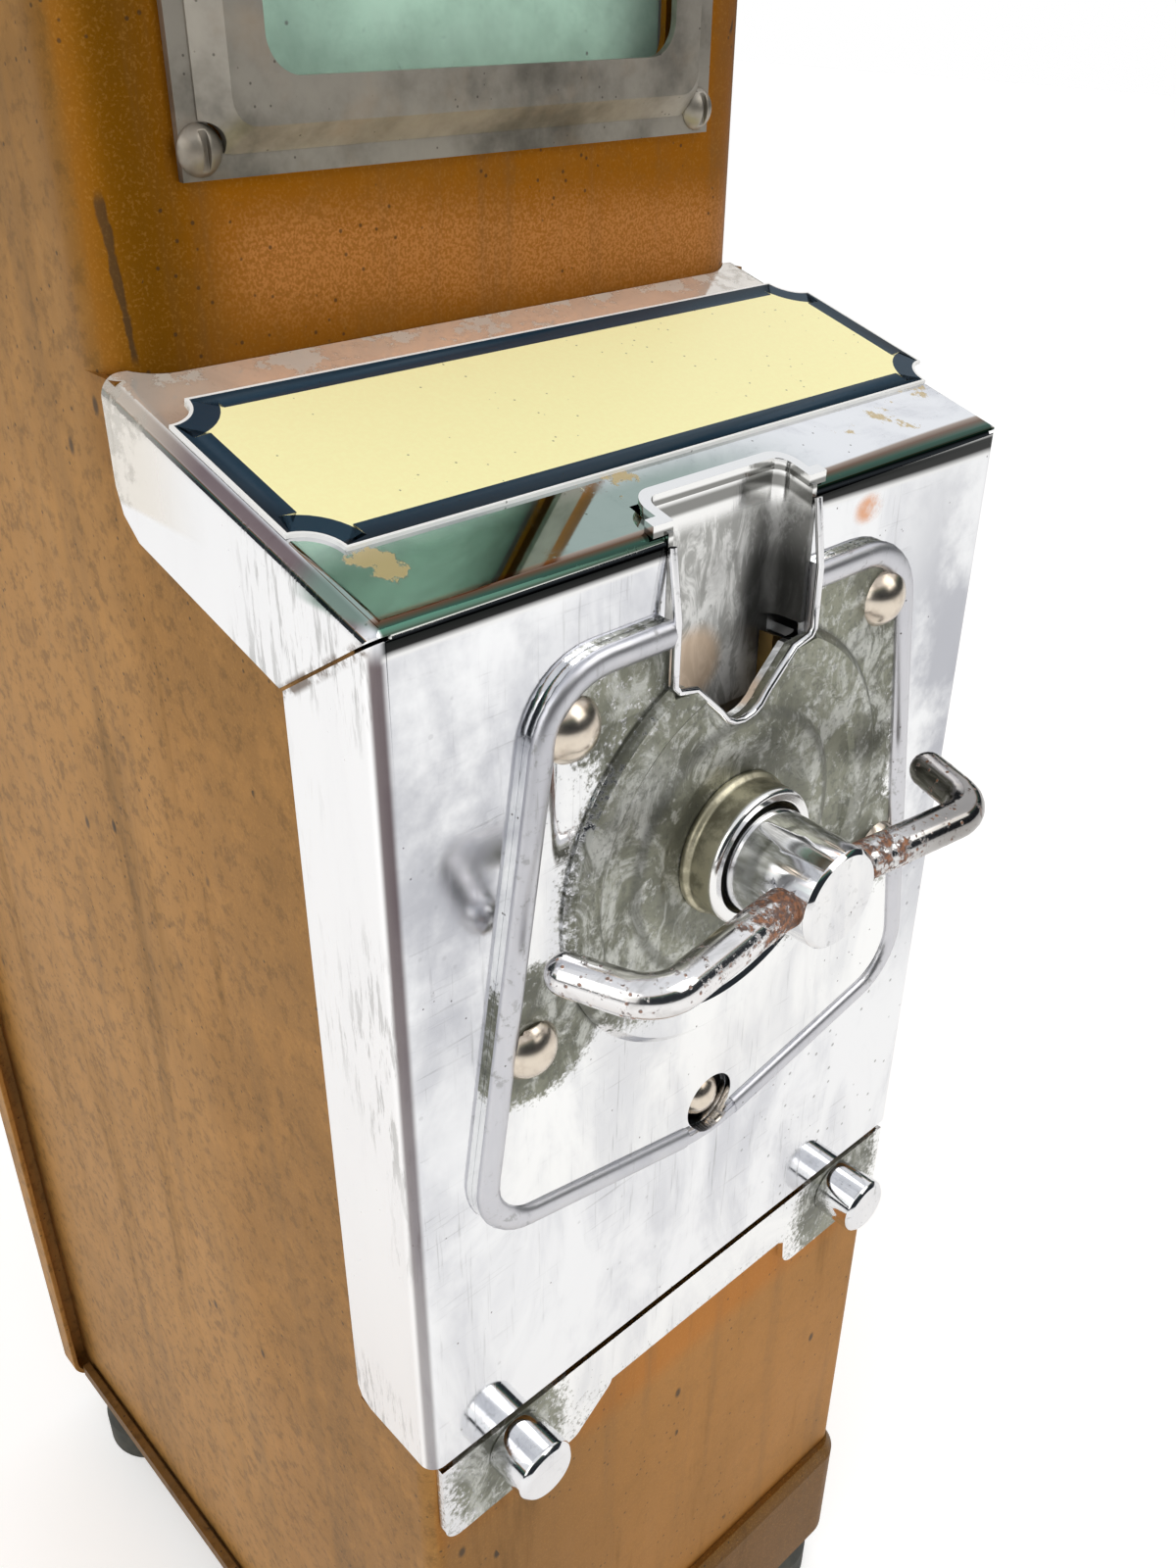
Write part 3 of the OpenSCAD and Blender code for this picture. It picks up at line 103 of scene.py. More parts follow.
class MachineColours(bpy.types.PropertyGroup):
    """The colours that a user would change."""

    enamel: FloatVectorProperty(
        name="Enamel", description="Metallic bronze enamel of the cabinet", subtype="COLOR",
        size=3, default=(0.37, 0.128, 0.002))
    faded: FloatVectorProperty(
        name="Faded enamel", description="The enamel where light and dust have dulled it", subtype="COLOR",
        size=3, default=(0.45, 0.228, 0.06))
    card: FloatVectorProperty(
        name="Card", description="Faded card behind the glass", subtype="COLOR",
        size=3, default=(0.22, 0.4, 0.29))
    plate_yellow: FloatVectorProperty(
        name="Plate yellow", description="Field of the instruction plate", subtype="COLOR",
        size=3, default=(0.97, 0.9, 0.48))
    plate_navy: FloatVectorProperty(
        name="Plate navy", description="Border of the instruction plate", subtype="COLOR",
        size=3, default=(0.006, 0.03, 0.055))


class MachineSizes(bpy.types.PropertyGroup):
    """The sizes that a user would change."""

    edge_round: FloatProperty(
        name="Edge round", description="Radius on the sheet's cut edges", default=0.00025,
        min=0.0, max=0.001, unit="LENGTH")
    border: FloatProperty(
        name="Plate border", description="Width of the instruction plate's navy border", default=0.003,
        min=0.001, max=0.005, unit="LENGTH")


# ---------------------------------------------------------------- materials


class Field:
    """A value that varies over a surface: a socket that takes arithmetic."""

    def __init__(self, graph, socket):
        self.graph = graph
        self.socket = socket

    def _with(self, operation, first, second):
        return Field(self.graph, self.graph.node(
            "ShaderNodeMath", {"operation": operation}, {0: first, 1: second}).outputs[0])

    def __add__(self, other):
        return self._with("ADD", self, other)

    __radd__ = __add__

    def __sub__(self, other):
        return self._with("SUBTRACT", self, other)

    def __rsub__(self, other):
        return self._with("SUBTRACT", other, self)

    def __mul__(self, other):
        return self._with("MULTIPLY", self, other)

    __rmul__ = __mul__

    def __truediv__(self, other):
        return self._with("DIVIDE", self, other)

    def __gt__(self, other):
        return self._with("GREATER_THAN", self, other)

    def least(self, other):
        return self._with("MINIMUM", self, other)

    def most(self, other):
        return self._with("MAXIMUM", self, other)

    def size(self):
        return self._with("ABSOLUTE", self, 0)

    def span(self, other):
        """The length of a line that runs this far one way and the other value square to it."""
        return self._with("SQRT", self * self + other * other, 0)


class Graph:
    """The nodes of one material or of the world, and the links between them."""

    def __init__(self, tree):
        self.nodes = tree.nodes
        self.links = tree.links

    def node(self, kind, settings=None, sockets=None):
        """Adds a node, gives it its settings, and then the values or links of its sockets."""
        made = self.nodes.new(kind)
        for setting, value in (settings or {}).items():
            if setting == "stops":
                ramp = made.color_ramp
                while len(ramp.elements) < len(value):
                    ramp.elements.new(0.5)
                for element, (position, colour) in zip(ramp.elements, value):
                    element.position = position
                    element.color = (*colour, 1)
            else:
                setattr(made, setting, value)
        for socket, value in (sockets or {}).items():
            self.feed(made.inputs[socket], value)
        return made

    def feed(self, socket, value):
        if isinstance(value, Field):
            self.links.new(value.socket, socket)
        elif isinstance(value, bpy.types.NodeSocket):
            self.links.new(value, socket)
        elif isinstance(value, (tuple, list, Vector)) and socket.type == "RGBA" and len(value) == 3:
            socket.default_value = (*value, 1)
        else:
            socket.default_value = value

    def mix(self, mask, low, high):
        """Two colours, blended by a mask."""
        made = self.node("ShaderNodeMix", {"data_type": "RGBA"}, {0: mask})
        self.feed(made.inputs[6], low)
        self.feed(made.inputs[7], high)
        return made.outputs[2]

    def tones(self, stops, field):
        """The colour that a ramp gives where the field, from 0 to 1, lies between its stops."""
        return self.node("ShaderNodeValToRGB", {"stops": stops}, {0: field}).outputs[0]


class Surface(Graph):
    """One material: a Principled shader, and the nodes that feed it."""

    def __init__(self, name, **constants):
        self.material = bpy.data.materials.new(name)
        self.material.use_nodes = True
        super().__init__(self.material.node_tree)
        self.shader = self.nodes["Principled BSDF"]
        self.place = self.node("ShaderNodeTexCoord").outputs["Object"]
        self.set(**constants)

    def stretched(self, sx, sy, sz, turn=(0, 0, 0), move=(0, 0, 0)):
        """Object coordinates, turned, moved and stretched, for a pattern to follow."""
        return self.node("ShaderNodeMapping", None, {
            "Vector": self.place, "Scale": (sx, sy, sz), "Rotation": turn, "Location": move}).outputs[0]

    def noise(self, scale, detail, roughness=0.55, where=None, distortion=0.0):
        """Fractal noise about 0.5. The scale counts features in a metre."""
        return Field(self, self.node("ShaderNodeTexNoise", None, {
            "Vector": where or self.place, "Scale": scale, "Detail": detail, "Roughness": roughness,
            "Distortion": distortion}).outputs["Fac"])

    def cells(self, scale, where=None):
        """Distance to the nearest of scattered points."""
        return Field(self, self.node("ShaderNodeTexVoronoi", None, {
            "Vector": where or self.place, "Scale": scale}).outputs["Distance"])

    def flecks(self, scale, edge, full, patch_scale, patch_above):
        """Small dots round scattered points, in patches: none at the edge distance, solid at full."""
        return self.ease(self.cells(scale), edge, full) * (self.noise(patch_scale, 3) > patch_above)

    def along(self, axis):
        """The place along one axis, in metres."""
        return Field(self, self.node("ShaderNodeSeparateXYZ", None, {0: self.place}).outputs[axis])

    def places(self):
        """Millimetres across, behind the cover's face and below its top fold."""
        return (self.along("X") / MM, (self.along("Y") - FACE_Y) / MM, (FOLD_Z - self.along("Z")) / MM)

    def ease(self, field, low, high, start=0.0, end=1.0):
        """A smooth step from start, where the field is low, to end, where it is high."""
        return Field(self, self.node("ShaderNodeMapRange", {"interpolation_type": "SMOOTHSTEP"}, {
            "Value": field, "From Min": low, "From Max": high, "To Min": start, "To Max": end}).outputs[0])

    def blot(self, x, y, centre, radius, soft, squash=1.0):
        """A soft-edged blot round one place on a face, wider than tall where squash is over 1."""
        return self.ease((x - centre[0]).span((y - centre[1]) * squash), radius + soft, radius)

    def bump(self, height, distance, strength, before=None):
        """A normal that leans with the height field, which rises by distance."""
        sockets = {"Height": height, "Distance": distance, "Strength": strength}
        if before is not None:
            sockets["Normal"] = before
        return self.node("ShaderNodeBump", None, sockets).outputs[0]

    def set(self, **fields):
        """Feeds the shader's sockets, and gives the finished material."""
        for socket, value in fields.items():
            name = socket.replace("_", " ").title().replace("Ior", "IOR")
            self.feed(self.shader.inputs[name], value)
        return self.material


def shaded(colour, share):
    """A colour made darker, or paler where the share is over 1."""
    return tuple(share * c for c in colour)


def enamel(name, deep, faded, wear=1.0):
    """Bronze metallic enamel: grainy flake, dull vertical streaks, dark specks and rubbed patches, with
    painted shade on the sides and edges and a painted highlight band across the upper front.
    """
    s = Surface(name, specular_ior_level=0.3)
    x, depth, drop = s.places()
    flake = s.noise(2600, 2)
    cloud = s.noise(22, 5, 0.6)
    streaks = s.noise(1, 5, 0.6, s.stretched(160, 160, 9))
    grime_and_groove_shade = s.noise(1, 6, 0.65, s.stretched(60, 60, 7, move=(3, 1, 2)))
    # forward takes in all that lies before the upper front, and front leaves out the two sides
    forward = s.ease(depth, 62, 50)
    upper = s.ease(drop, 6, -16)
    front = s.ease(x.size(), 53.8, 52.8)
    colour = s.mix(forward * (0.3 * front + 0.7 * upper), faded, deep)
    colour = s.mix(s.ease(cloud, 0.38, 0.68) * 0.35, colour, shaded(faded, 0.66))
    # the sides are mottled, with painted shade at their top and a painted shadow beside the chrome
    grit = s.noise(420, 5, 0.72)
    mottle = s.noise(75, 6, 0.7)
    side = 1 - front
    shade = s.ease(drop, 25, -50).most(s.ease(depth, 64, 24)) * side
    colour = s.mix(shade * 0.55, colour, shaded(faded, 0.62))
    grit_share = s.ease(grit, 0.48, 0.64) * (0.18 + 0.55 * side)
    colour = s.mix(grit_share, colour, shaded(faded, 0.5))
    colour = s.mix(s.ease(mottle, 0.52, 0.36) * 0.3 * side, colour, shaded(faded, 1.25))
    colour = s.mix(s.ease(mottle, 0.55, 0.68) * 0.4 * side, colour, shaded(faded, 0.6))
    # a long band across the upper front, under the frame, is a painted highlight
    crest_highlight = s.ease((drop + 23 - 0.05 * x + 6 * (cloud - 0.5)).size(), 10, 1) * forward * upper
    crest_highlight = crest_highlight * s.ease(x, -44, -30)
    colour = s.mix(crest_highlight * (0.4 + 0.8 * s.ease(flake, 0.4, 0.62)), colour, (0.6, 0.25, 0.07))
    # below the cover the front is orange, and duller to the left
    under = s.ease((drop - 151).size(), 10, 3) * forward * front
    colour = s.mix(under * 0.6, colour, (0.5, 0.17, 0.006))
    low_left = s.ease(x, 0, -36) * s.ease(drop, 138, 146) * forward * front
    colour = s.mix(low_left * 0.55, colour, shaded(faded, 0.45))
    # painted shade deepens the upper front at its two edges, where it turns into the sides, and just above
    # the cover
    edge = s.ease(x, -36, -48) * s.ease(x, -54.5, -50, 0.5, 1)
    edge = edge.most(s.ease(x, 48, 51.5)).most(s.ease((drop + 6).size(), 7, 1)) * forward * upper
    colour = s.mix(edge * 0.75, colour, (0.17, 0.07, 0.001))
    colour = s.mix(s.ease(streaks, 0.5, 0.72) * 0.3 * wear, colour, (0.19, 0.12, 0.06))
    colour = s.mix(s.ease(streaks, 0.45, 0.25) * 0.2 * wear * (1 - forward), colour, (0.5, 0.3, 0.12))
    colour = s.mix(s.ease(flake, 0.5, 0.72) * 0.2 * forward, colour, (0.62, 0.33, 0.08))
    # specks, scabs, dirt and one long scrape have gone dark
    specks = s.flecks(480, edge=0.16, full=0.08, patch_scale=45, patch_above=0.5)
    scabs = s.ease(s.cells(1, where=s.stretched(120, 120, 70)), 0.12, 0.04) * (s.noise(30, 3) > 0.53)
    dirt = s.ease(grime_and_groove_shade, 0.56, 0.7) * 0.6
    scrape = s.ease((x + 49.5 - 0.06 * drop).size() + 1.2 * (s.noise(300, 4) - 0.5), 0.55, 0.3)
    scrape = scrape * s.ease((drop + 25).size(), 10, 8) * forward * upper
    scrape = scrape.most(s.blot(x, drop, (-43.5, -11), 0.7, 1.2, 1.4) * s.ease(s.noise(500, 3), 0.45, 0.6))
    dark = (specks * 0.65 + scabs * 0.8 + dirt * 0.5 + scrape * 0.75).least(1) * wear
    colour = s.mix(dark, colour, (0.05, 0.036, 0.022))
    rough = 0.4 + 0.16 * cloud + 0.2 * dirt + 0.1 * streaks
    relief = s.bump(flake, 0.00004, 0.4)
    return s.set(base_color=colour, metallic=0.5 + 0.4 * forward - 0.3 * dirt, roughness=rough,
                 normal=s.bump(s.noise(180, 3) + 0.5 * dark, 0.00012, 0.35, relief))


def polish(s, tint, rub=1.0):
    """Bright plate: fine scratches, cloudy wipes and pin-prick pits. Gives colour, roughness and relief."""
    wipes = s.noise(1, 5, 0.62, s.stretched(60, 90, 26, turn=(0, 0.6, 0)), 0.6)
    hair = s.noise(1, 3, 0.7, s.stretched(1400, 1400, 55, turn=(0, 0.35, 0)))
    hair_across = s.noise(1, 3, 0.7, s.stretched(50, 1400, 1400, turn=(0, -0.5, 0)))
    scratches = (s.ease(hair, 0.58, 0.7) + s.ease(hair_across, 0.6, 0.72)).least(1)
    pits = s.flecks(520, edge=0.1, full=0.05, patch_scale=60, patch_above=0.56)
    haze = s.ease(wipes, 0.42, 0.72)
    colour = s.mix(haze * 0.5 * rub, tint, (0.5, 0.51, 0.56))
    colour = s.mix(scratches * haze * 0.55 * rub, colour, (0.36, 0.36, 0.36))
    colour = s.mix(pits * 0.85, colour, (0.1, 0.09, 0.075))
    rough = 0.03 + 0.07 * rub * haze + 0.08 * scratches * haze * rub + 0.3 * pits
    return colour, rough, s.bump(scratches * haze, 0.00001, 0.4 * rub)


def chrome(name, rub, tint, blur=0.06):
    """Chrome of the posts, the hub, the plate's bead and the notch's rim, with grey freckles."""
    s = Surface(name, metallic=1.0)
    colour, rough, relief = polish(s, tint, rub)
    freckles = s.ease(s.noise(700, 4, 0.7), 0.56, 0.66) * s.ease(s.noise(90, 3), 0.42, 0.6)
    colour = s.mix(freckles * 0.5, colour, (0.34, 0.34, 0.33))
    return s.set(base_color=colour, roughness=rough + blur + 0.15 * freckles, normal=relief)


def collar_metal():
    """The collar's ring: dull yellow-grey outside, with a bright worn rim."""
    s = Surface("collar_metal", metallic=1.0)
    depth = s.places()[1]
    cloud = s.noise(240, 5, 0.65)
    rim = s.ease(depth, -6.3, -7.0)
    dull = s.mix(s.ease(cloud, 0.4, 0.62), (0.62, 0.58, 0.43), (0.3, 0.28, 0.2))
    colour = s.mix(rim, dull, (0.85, 0.85, 0.84))
    return s.set(base_color=colour, roughness=0.36 - 0.24 * rim + 0.1 * cloud,
                 normal=s.bump(cloud, 0.00005, 0.4))


# Painted reflection: what the round of the fold mirrors, from the front (0) to the slope (1)
FOLD_TONES = [(0.22, (0.8, 0.8, 0.8)), (0.29, (0.02, 0.02, 0.02)), (0.4, (0.015, 0.017, 0.016)),
              (0.44, (0.9, 0.9, 0.88)), (0.48, (0.03, 0.045, 0.035)), (0.6, (0.04, 0.1, 0.075)),
              (0.7, (0.13, 0.07, 0.04)), (0.84, (0.5, 0.42, 0.36))]


def cover_plate():
    """Chrome of the folded cover: painted dark reflections in the folds, ochre stains on the slope and scuffs
    on the flanges.
    """
    s = Surface("cover_chrome")
    x, depth, drop = s.places()
    colour, rough, relief = polish(s, (0.86, 0.87, 0.885), 1.2)
    cloud = s.noise(34, 6, 0.62)
    slope = s.ease(drop, 0.4, -0.6)
    front = s.ease(depth, 1.2, 0.4)
    side = s.ease(x.size(), 54.2, 54.8)
    colour = s.mix(side * 0.85, colour, (0.97, 0.97, 0.975))
    # the front is spotted, and more so to the right
    spots = s.flecks(300, edge=0.13, full=0.07, patch_scale=38, patch_above=0.52)
    colour = s.mix(spots * front * s.ease(x, -20, 30, 0.3, 1) * 0.6, colour, (0.16, 0.155, 0.14))
    # the front is hazed from its top left to its middle
    veil = s.blot(x, drop, (-38, 26), 8, 34, 0.7) * s.ease(cloud, 0.4, 0.62) * front
    veil = (veil + s.blot(x, drop, (48, 44), 5, 20, 0.4) * s.ease(cloud, 0.4, 0.58) * front).least(1)
    colour = s.mix(veil * 0.75, colour, (0.33, 0.34, 0.39))
    # scuffed patches on the flanges
    strokes = s.noise(1, 4, 0.7, s.stretched(400, 700, 90, turn=(0.6, 0, 0)))
    scuff = side * s.ease(strokes, 0.5, 0.6) * s.ease(s.noise(26, 3), 0.47, 0.6)
    colour = s.mix(scuff * 0.6, colour, (0.42, 0.42, 0.41))
    # painted dark reflections run along the side folds, on lines a little under the sheet's face
    beside, under = x.size() - COVER_HALF, 0.7
    fold_reflection = s.ease(beside.span(depth - under), 1.25, 0.45) * s.ease(drop, 1, 4)
    colour = s.mix(fold_reflection * s.ease(drop, 134, 20, 0.6, 0.9), colour, (0.09, 0.06, 0.065))
    below_slope = drop + COVER_RISE * depth
    slope_fold_reflection = s.ease(beside.span(below_slope - under), 1.3, 0.5) * s.ease(depth, 1, 4)
    colour = s.mix(slope_fold_reflection * 0.85, colour, (0.085, 0.03, 0.035))
    # painted reflections of the card and the room stand dark in the front of the slope and in the wide fold
    # below it
    card = s.ease(x, 24, -6) * s.ease(depth, 15, 9) * slope
    colour = s.mix(card * 0.8, colour, (0.2, 0.3, 0.25))
    round_fold = (depth - drop) / (1 + 0.35 * s.ease(x, 0, 50))
    fold_reflection_band = s.tones(FOLD_TONES, round_fold * 0.1 + 0.5)
    in_fold = s.ease(depth.span(drop), 4.6, 3.4) * s.ease(round_fold.size(), 3.3, 2.8)
    colour = s.mix(in_fold * s.ease(x.size(), 54, 53.2), colour, fold_reflection_band)
    # ochre stains and crusted scratches on the slope
    blotch = s.noise(190, 5, 0.7)
    near = s.blot(x, depth, (-47.5, 9), 1.5, 4).most(s.blot(x, depth, (51, 14), 3, 5))
    near = near.most(0.7 * s.blot(x, depth, (-12, 12), 3, 9, 1.6))
    near = near.most(0.8 * s.blot(x, depth, (36, 9), 3, 12, 1.8))
    ochre = s.ease(blotch + 0.26 * near, 0.72, 0.78) * slope
    crust = s.ease(blotch + 0.22 * s.ease(depth, 40, 49), 0.66, 0.76) * slope * s.ease(depth, 38, 46)
    rear = s.ease(depth, 30, 46) * slope
    colour = s.mix(rear * 0.55, colour, (0.75, 0.66, 0.52))
    colour = s.mix(crust * 0.5, colour, (0.42, 0.4, 0.35))
    colour = s.mix(ochre * 0.8, colour, (0.52, 0.38, 0.14))
    rosy = s.blot(x, drop, (25, 5.6), 1.4, 2.4, 1.5) * front
    colour = s.mix(rosy * s.ease(blotch, 0.35, 0.6), colour, (0.75, 0.4, 0.24))
    # rust in the mitred seams at the sides
    seam = s.ease((drop - 0.6 - depth * 0.68).size(), 1.5, 0.5) * side
    colour = s.mix(seam * s.ease(blotch, 0.4, 0.55) * 0.85, colour, (0.12, 0.075, 0.045))
    stain = (ochre + crust + 0.8 * rosy).least(1)
    rough = rough + 0.12 * veil + 0.3 * stain + 0.2 * scuff
    return s.set(base_color=colour, metallic=1 - (0.75 * stain).most(0.4 * rear), roughness=rough,
                 normal=s.bump(stain + scuff * 0.5, 0.00003, 0.5, relief))


def tarnished(name, where):
    """Plated sheet that has gone frosty and grey-green. Where gives the mask from the surface's places."""
    s = Surface(name)
    x, _, drop = s.places()
    by_collar, disc_step, disc_band, disc_edge = 13, 19, 24, 30.9
    colour, rough, relief = polish(s, (0.9, 0.905, 0.9))
    cloud = s.noise(60, 6, 0.65)
    grain = s.noise(1100, 3, 0.7)
    brushed = s.noise(1, 6, 0.72, s.stretched(150, 300, 110, turn=(0, -0.8, 0)), 0.8)
    mask = where(s, x, drop) + 0.45 * (cloud - 0.5)
    out = x.span(drop - AXIS_DROP)
    frost = s.ease(mask + 1.5 * (grain - 0.5), 0.3, 0.72)
    dull = s.mix(s.ease(cloud, 0.36, 0.66), (0.24, 0.245, 0.18), (0.08, 0.083, 0.055))
    dull = s.mix(s.ease(brushed, 0.47, 0.62) * 0.75, dull, (0.6, 0.61, 0.57))
    dull = s.mix(s.ease(s.noise(420, 4, 0.7), 0.56, 0.68) * 0.5, dull, (0.75, 0.76, 0.74))
    # pale frosted patches, kept to a ring round the disc as a painted lighter ring
    pale = s.ease(s.noise(1, 4, 0.6, s.stretched(90, 90, 40)), 0.45, 0.6)
    pale = pale * s.ease((out - disc_band).size(), 6, 2)
    dull = s.mix(pale * 0.4, dull, (0.6, 0.61, 0.58))
    # painted shade lies in rings round the collar, at the step in the disc and at its edge
    grime_and_groove_shade = s.ease((out - disc_step).size(), 1.3, 0.3).most(s.ease((out - by_collar).size(), 3.5, 1) * 0.7)
    grime_and_groove_shade = grime_and_groove_shade.most(s.ease((out - disc_edge).size(), 0.7, 0.2))
    dull = s.mix(grime_and_groove_shade * 0.6, dull, (0.07, 0.072, 0.055))
    dull = s.mix(s.ease(grain, 0.5, 0.34) * 0.5, dull, (0.06, 0.065, 0.05))
    colour = s.mix(frost * 0.95, colour, dull)
    return s.set(base_color=colour, metallic=1 - 0.25 * frost, roughness=rough + 0.34 * frost,
                 normal=s.bump(frost * grain + brushed * 0.4, 0.00005, 0.5, relief))


def plate_tarnish(s, x, drop):
    """Tarnish spreads over the disc and up to the plate's corners, and stops at the disc's lower edge."""
    around = s.ease(x.span(drop - AXIS_DROP) + s.ease(x, 6, -16, 0, 6), 42, 32)
    corners = s.blot(x, drop, (24, 25), 10, 12).most(0.75 * s.blot(x, drop, (-20, 18), 6, 10))
    above = around.most(corners) * s.ease(drop, 74, 62)
    return above.most(1.2 * s.blot(x, drop, (-34.5, 61), 7, 7)).most(0.8 * s.blot(x, drop, (36, 62), 6, 7))


def strip_tarnish(s, x, drop):
    """Tarnish gathers round the two posts."""
    return (s.ease((x.size() - 40).span((drop - 143) * 0.8), 17, 7) * 0.85).most(0.3 * s.ease(drop, 140, 146))


def plain_steel(name, tint, rough, grain=(900, 900, 60), dirt=0.4):
    """Plain or plated steel with a drawn grain and oily dirt."""
    s = Surface(name)
    drawn = s.noise(1, 3, 0.6, s.stretched(*grain))
    cloud = s.noise(50, 5, 0.6)
    colour = s.mix(s.ease(cloud, 0.45, 0.72) * dirt, tint, shaded(tint, 0.42))
    return s.set(base_color=colour, metallic=1 - 0.25 * s.ease(cloud, 0.5, 0.75),
                 roughness=rough + 0.2 * (drawn - 0.5) + 0.15 * cloud, normal=s.bump(drawn, 0.00003, 0.3))


def scoop_steel():
    """Scratched steel of the trough: pale in the middle, oily and dark at its sides with painted shade, a
    painted shadow low on the right and a painted warm glint at its foot.
    """
    s = Surface("scoop_steel")
    x, depth, drop = s.places()
    cloud = s.noise(170, 5, 0.65)
    swirl = s.noise(1, 4, 0.7, s.stretched(300, 300, 120, turn=(0, 0.8, 0)), 1.2)
    inside = s.ease(drop, 1.5, 4)
    # the trough's side walls carry painted shade, and the cloud adds oily dirt
    oil_and_wall_shade = (s.ease(x.size(), 6, 12) * 0.75 + s.ease(cloud, 0.45, 0.7) * 0.5).least(1) * inside
    colour = s.mix(s.ease(swirl, 0.42, 0.6), (0.45, 0.45, 0.43), (0.85, 0.85, 0.83))
    colour = s.mix(oil_and_wall_shade * 0.6, colour, (0.08, 0.078, 0.07))
    # a painted warm glint at the foot of the trough
    foot = s.blot(x, drop, (-2, 22), 3.5, 3)
    colour = s.mix(foot * 0.8, colour, (0.8, 0.6, 0.42))
    # a painted shadow low on the right of the trough
    colour = s.mix(s.blot(x, drop, (11, 16), 2.5, 4, 0.5) * 0.9, colour, (0.02, 0.02, 0.018))
    colour = s.mix(inside, (0.86, 0.86, 0.85), colour)
    # painted shade runs under the rolled edge, and a painted dark reflection along its crown
    below_slope = drop + COVER_RISE * depth
    lip = s.ease((below_slope - 1.5).size(), 1.2, 0.5).most(s.ease((below_slope + 0.3).size(), 0.6, 0.25))
    colour = s.mix(lip * 0.8, colour, (0.08, 0.08, 0.07))
    rough = 0.1 + (0.24 + 0.2 * cloud) * inside
    return s.set(base_color=colour, metallic=1 - 0.35 * inside - 0.2 * oil_and_wall_shade, roughness=rough,
                 normal=s.bump(swirl, 0.00006, 0.4))


def polished_nickel():
    """Warm worn nickel of the dome rivets and screw heads."""
    s = Surface("warm_nickel")
    cloud = s.noise(260, 4)
    colour = s.mix(s.ease(cloud, 0.45, 0.7) * 0.6, (0.72, 0.64, 0.54), (0.4, 0.32, 0.25))
    return s.set(base_color=colour, metallic=1.0, roughness=0.16 + 0.16 * cloud,
                 normal=s.bump(cloud, 0.00004, 0.3))


def rusted_chrome():
    """Chromed rod, with rust that breaks through near the hub and in scattered points."""
    s = Surface("rusted_chrome", specular_ior_level=0.2)
    x = s.along("X")
    near_hub = s.ease(x.size(), 21 * MM, 8 * MM)
    blots = s.noise(520, 7, 0.78)
    freckles = s.flecks(620, edge=0.2, full=0.1, patch_scale=120, patch_above=0.4)
    rust = s.ease(blots + 0.17 * near_hub, 0.58, 0.66).most(freckles * 0.9)
    deep_rust = s.ease(blots + 0.16 * near_hub, 0.72, 0.8)
    wipes = s.noise(1, 4, 0.6, s.stretched(60, 300, 300))
    aged = s.ease(x, 8 * MM, 24 * MM) * 0.85
    colour = s.mix((s.ease(wipes, 0.5, 0.7) * 0.4).most(aged), (0.8, 0.79, 0.79), (0.24, 0.225, 0.21))
    ochre = s.mix(s.ease(s.noise(1300, 4, 0.7), 0.44, 0.54), (0.3, 0.1, 0.02), (0.08, 0.028, 0.012))
    colour = s.mix(rust * 0.9, colour, ochre)
    colour = s.mix(deep_rust * 0.8, colour, (0.2, 0.075, 0.03))
    return s.set(base_color=colour, metallic=1 - 0.7 * rust, roughness=0.1 + 0.1 * wipes + 0.45 * rust,
                 normal=s.bump(rust, 0.00008, 0.7))


def old_bezel():
    """Tarnished pressed steel of the window's frame."""
    s = Surface("bezel_steel")
    cloud = s.noise(38, 6, 0.65)
    drawn = s.noise(1, 4, 0.65, s.stretched(30, 300, 300))
    warm = s.ease(s.noise(90, 4), 0.55, 0.75)
    colour = s.mix(s.ease(cloud, 0.4, 0.7), (0.38, 0.35, 0.3), (0.13, 0.12, 0.1))
    colour = s.mix(warm * 0.4, colour, (0.27, 0.18, 0.1))
    colour = s.mix(s.ease(s.cells(500), 0.1, 0.05) * 0.7, colour, (0.06, 0.05, 0.04))
    return s.set(base_color=colour, metallic=0.85 - 0.3 * warm, roughness=0.36 + 0.25 * cloud - 0.1 * drawn,
                 normal=s.bump(drawn, 0.00004, 0.4))


def faded_card(colour_in):
    """Green card, mottled and foxed behind its glass."""
    s = Surface("green_card")
    mottle = s.noise(48, 7, 0.7)
    fine = s.noise(600, 4, 0.7)
    colour = s.mix(s.ease(mottle, 0.35, 0.7), colour_in, tuple(min(1, 1.45 * c + 0.07) for c in colour_in))
    colour = s.mix(s.ease(fine, 0.6, 0.75) * 0.45, colour, (0.1, 0.17, 0.13))
    colour = s.mix(s.ease(s.cells(260), 0.09, 0.04) * 0.8, colour, (0.035, 0.05, 0.035))
    return s.set(base_color=colour, roughness=0.75, normal=s.bump(fine, 0.00004, 0.4))


def printed(name, colour_in, grain=0.25):
    """Printed enamel on tin: even, with a fine grain and a few dark specks."""
    s = Surface(name, specular_ior_level=0.3)
    fine = s.noise(1500, 3, 0.7)
    pale = tuple(min(1, 1.1 * c + 0.03) for c in colour_in)
    colour = s.mix(s.ease(fine, 0.42, 0.62) * grain, colour_in, pale)
    specks = s.flecks(560, edge=0.11, full=0.06, patch_scale=70, patch_above=0.52)
    colour = s.mix(specks * 0.75, colour, shaded(colour_in, 0.2))
    return s.set(base_color=colour, roughness=0.4 + 0.15 * fine, normal=s.bump(fine, 0.00002, 0.3))


def yellow_metal():
    """Satin brass of the wheels and the lock's plug."""
    s = Surface("satin_brass", metallic=1.0)
    cloud = s.noise(120, 5)
    colour = s.mix(s.ease(cloud, 0.4, 0.7) * 0.6, (0.62, 0.42, 0.16), (0.3, 0.19, 0.07))
    return s.set(base_color=colour, roughness=0.3 + 0.2 * cloud, normal=s.bump(s.noise(900, 2), 0.00003, 0.3))


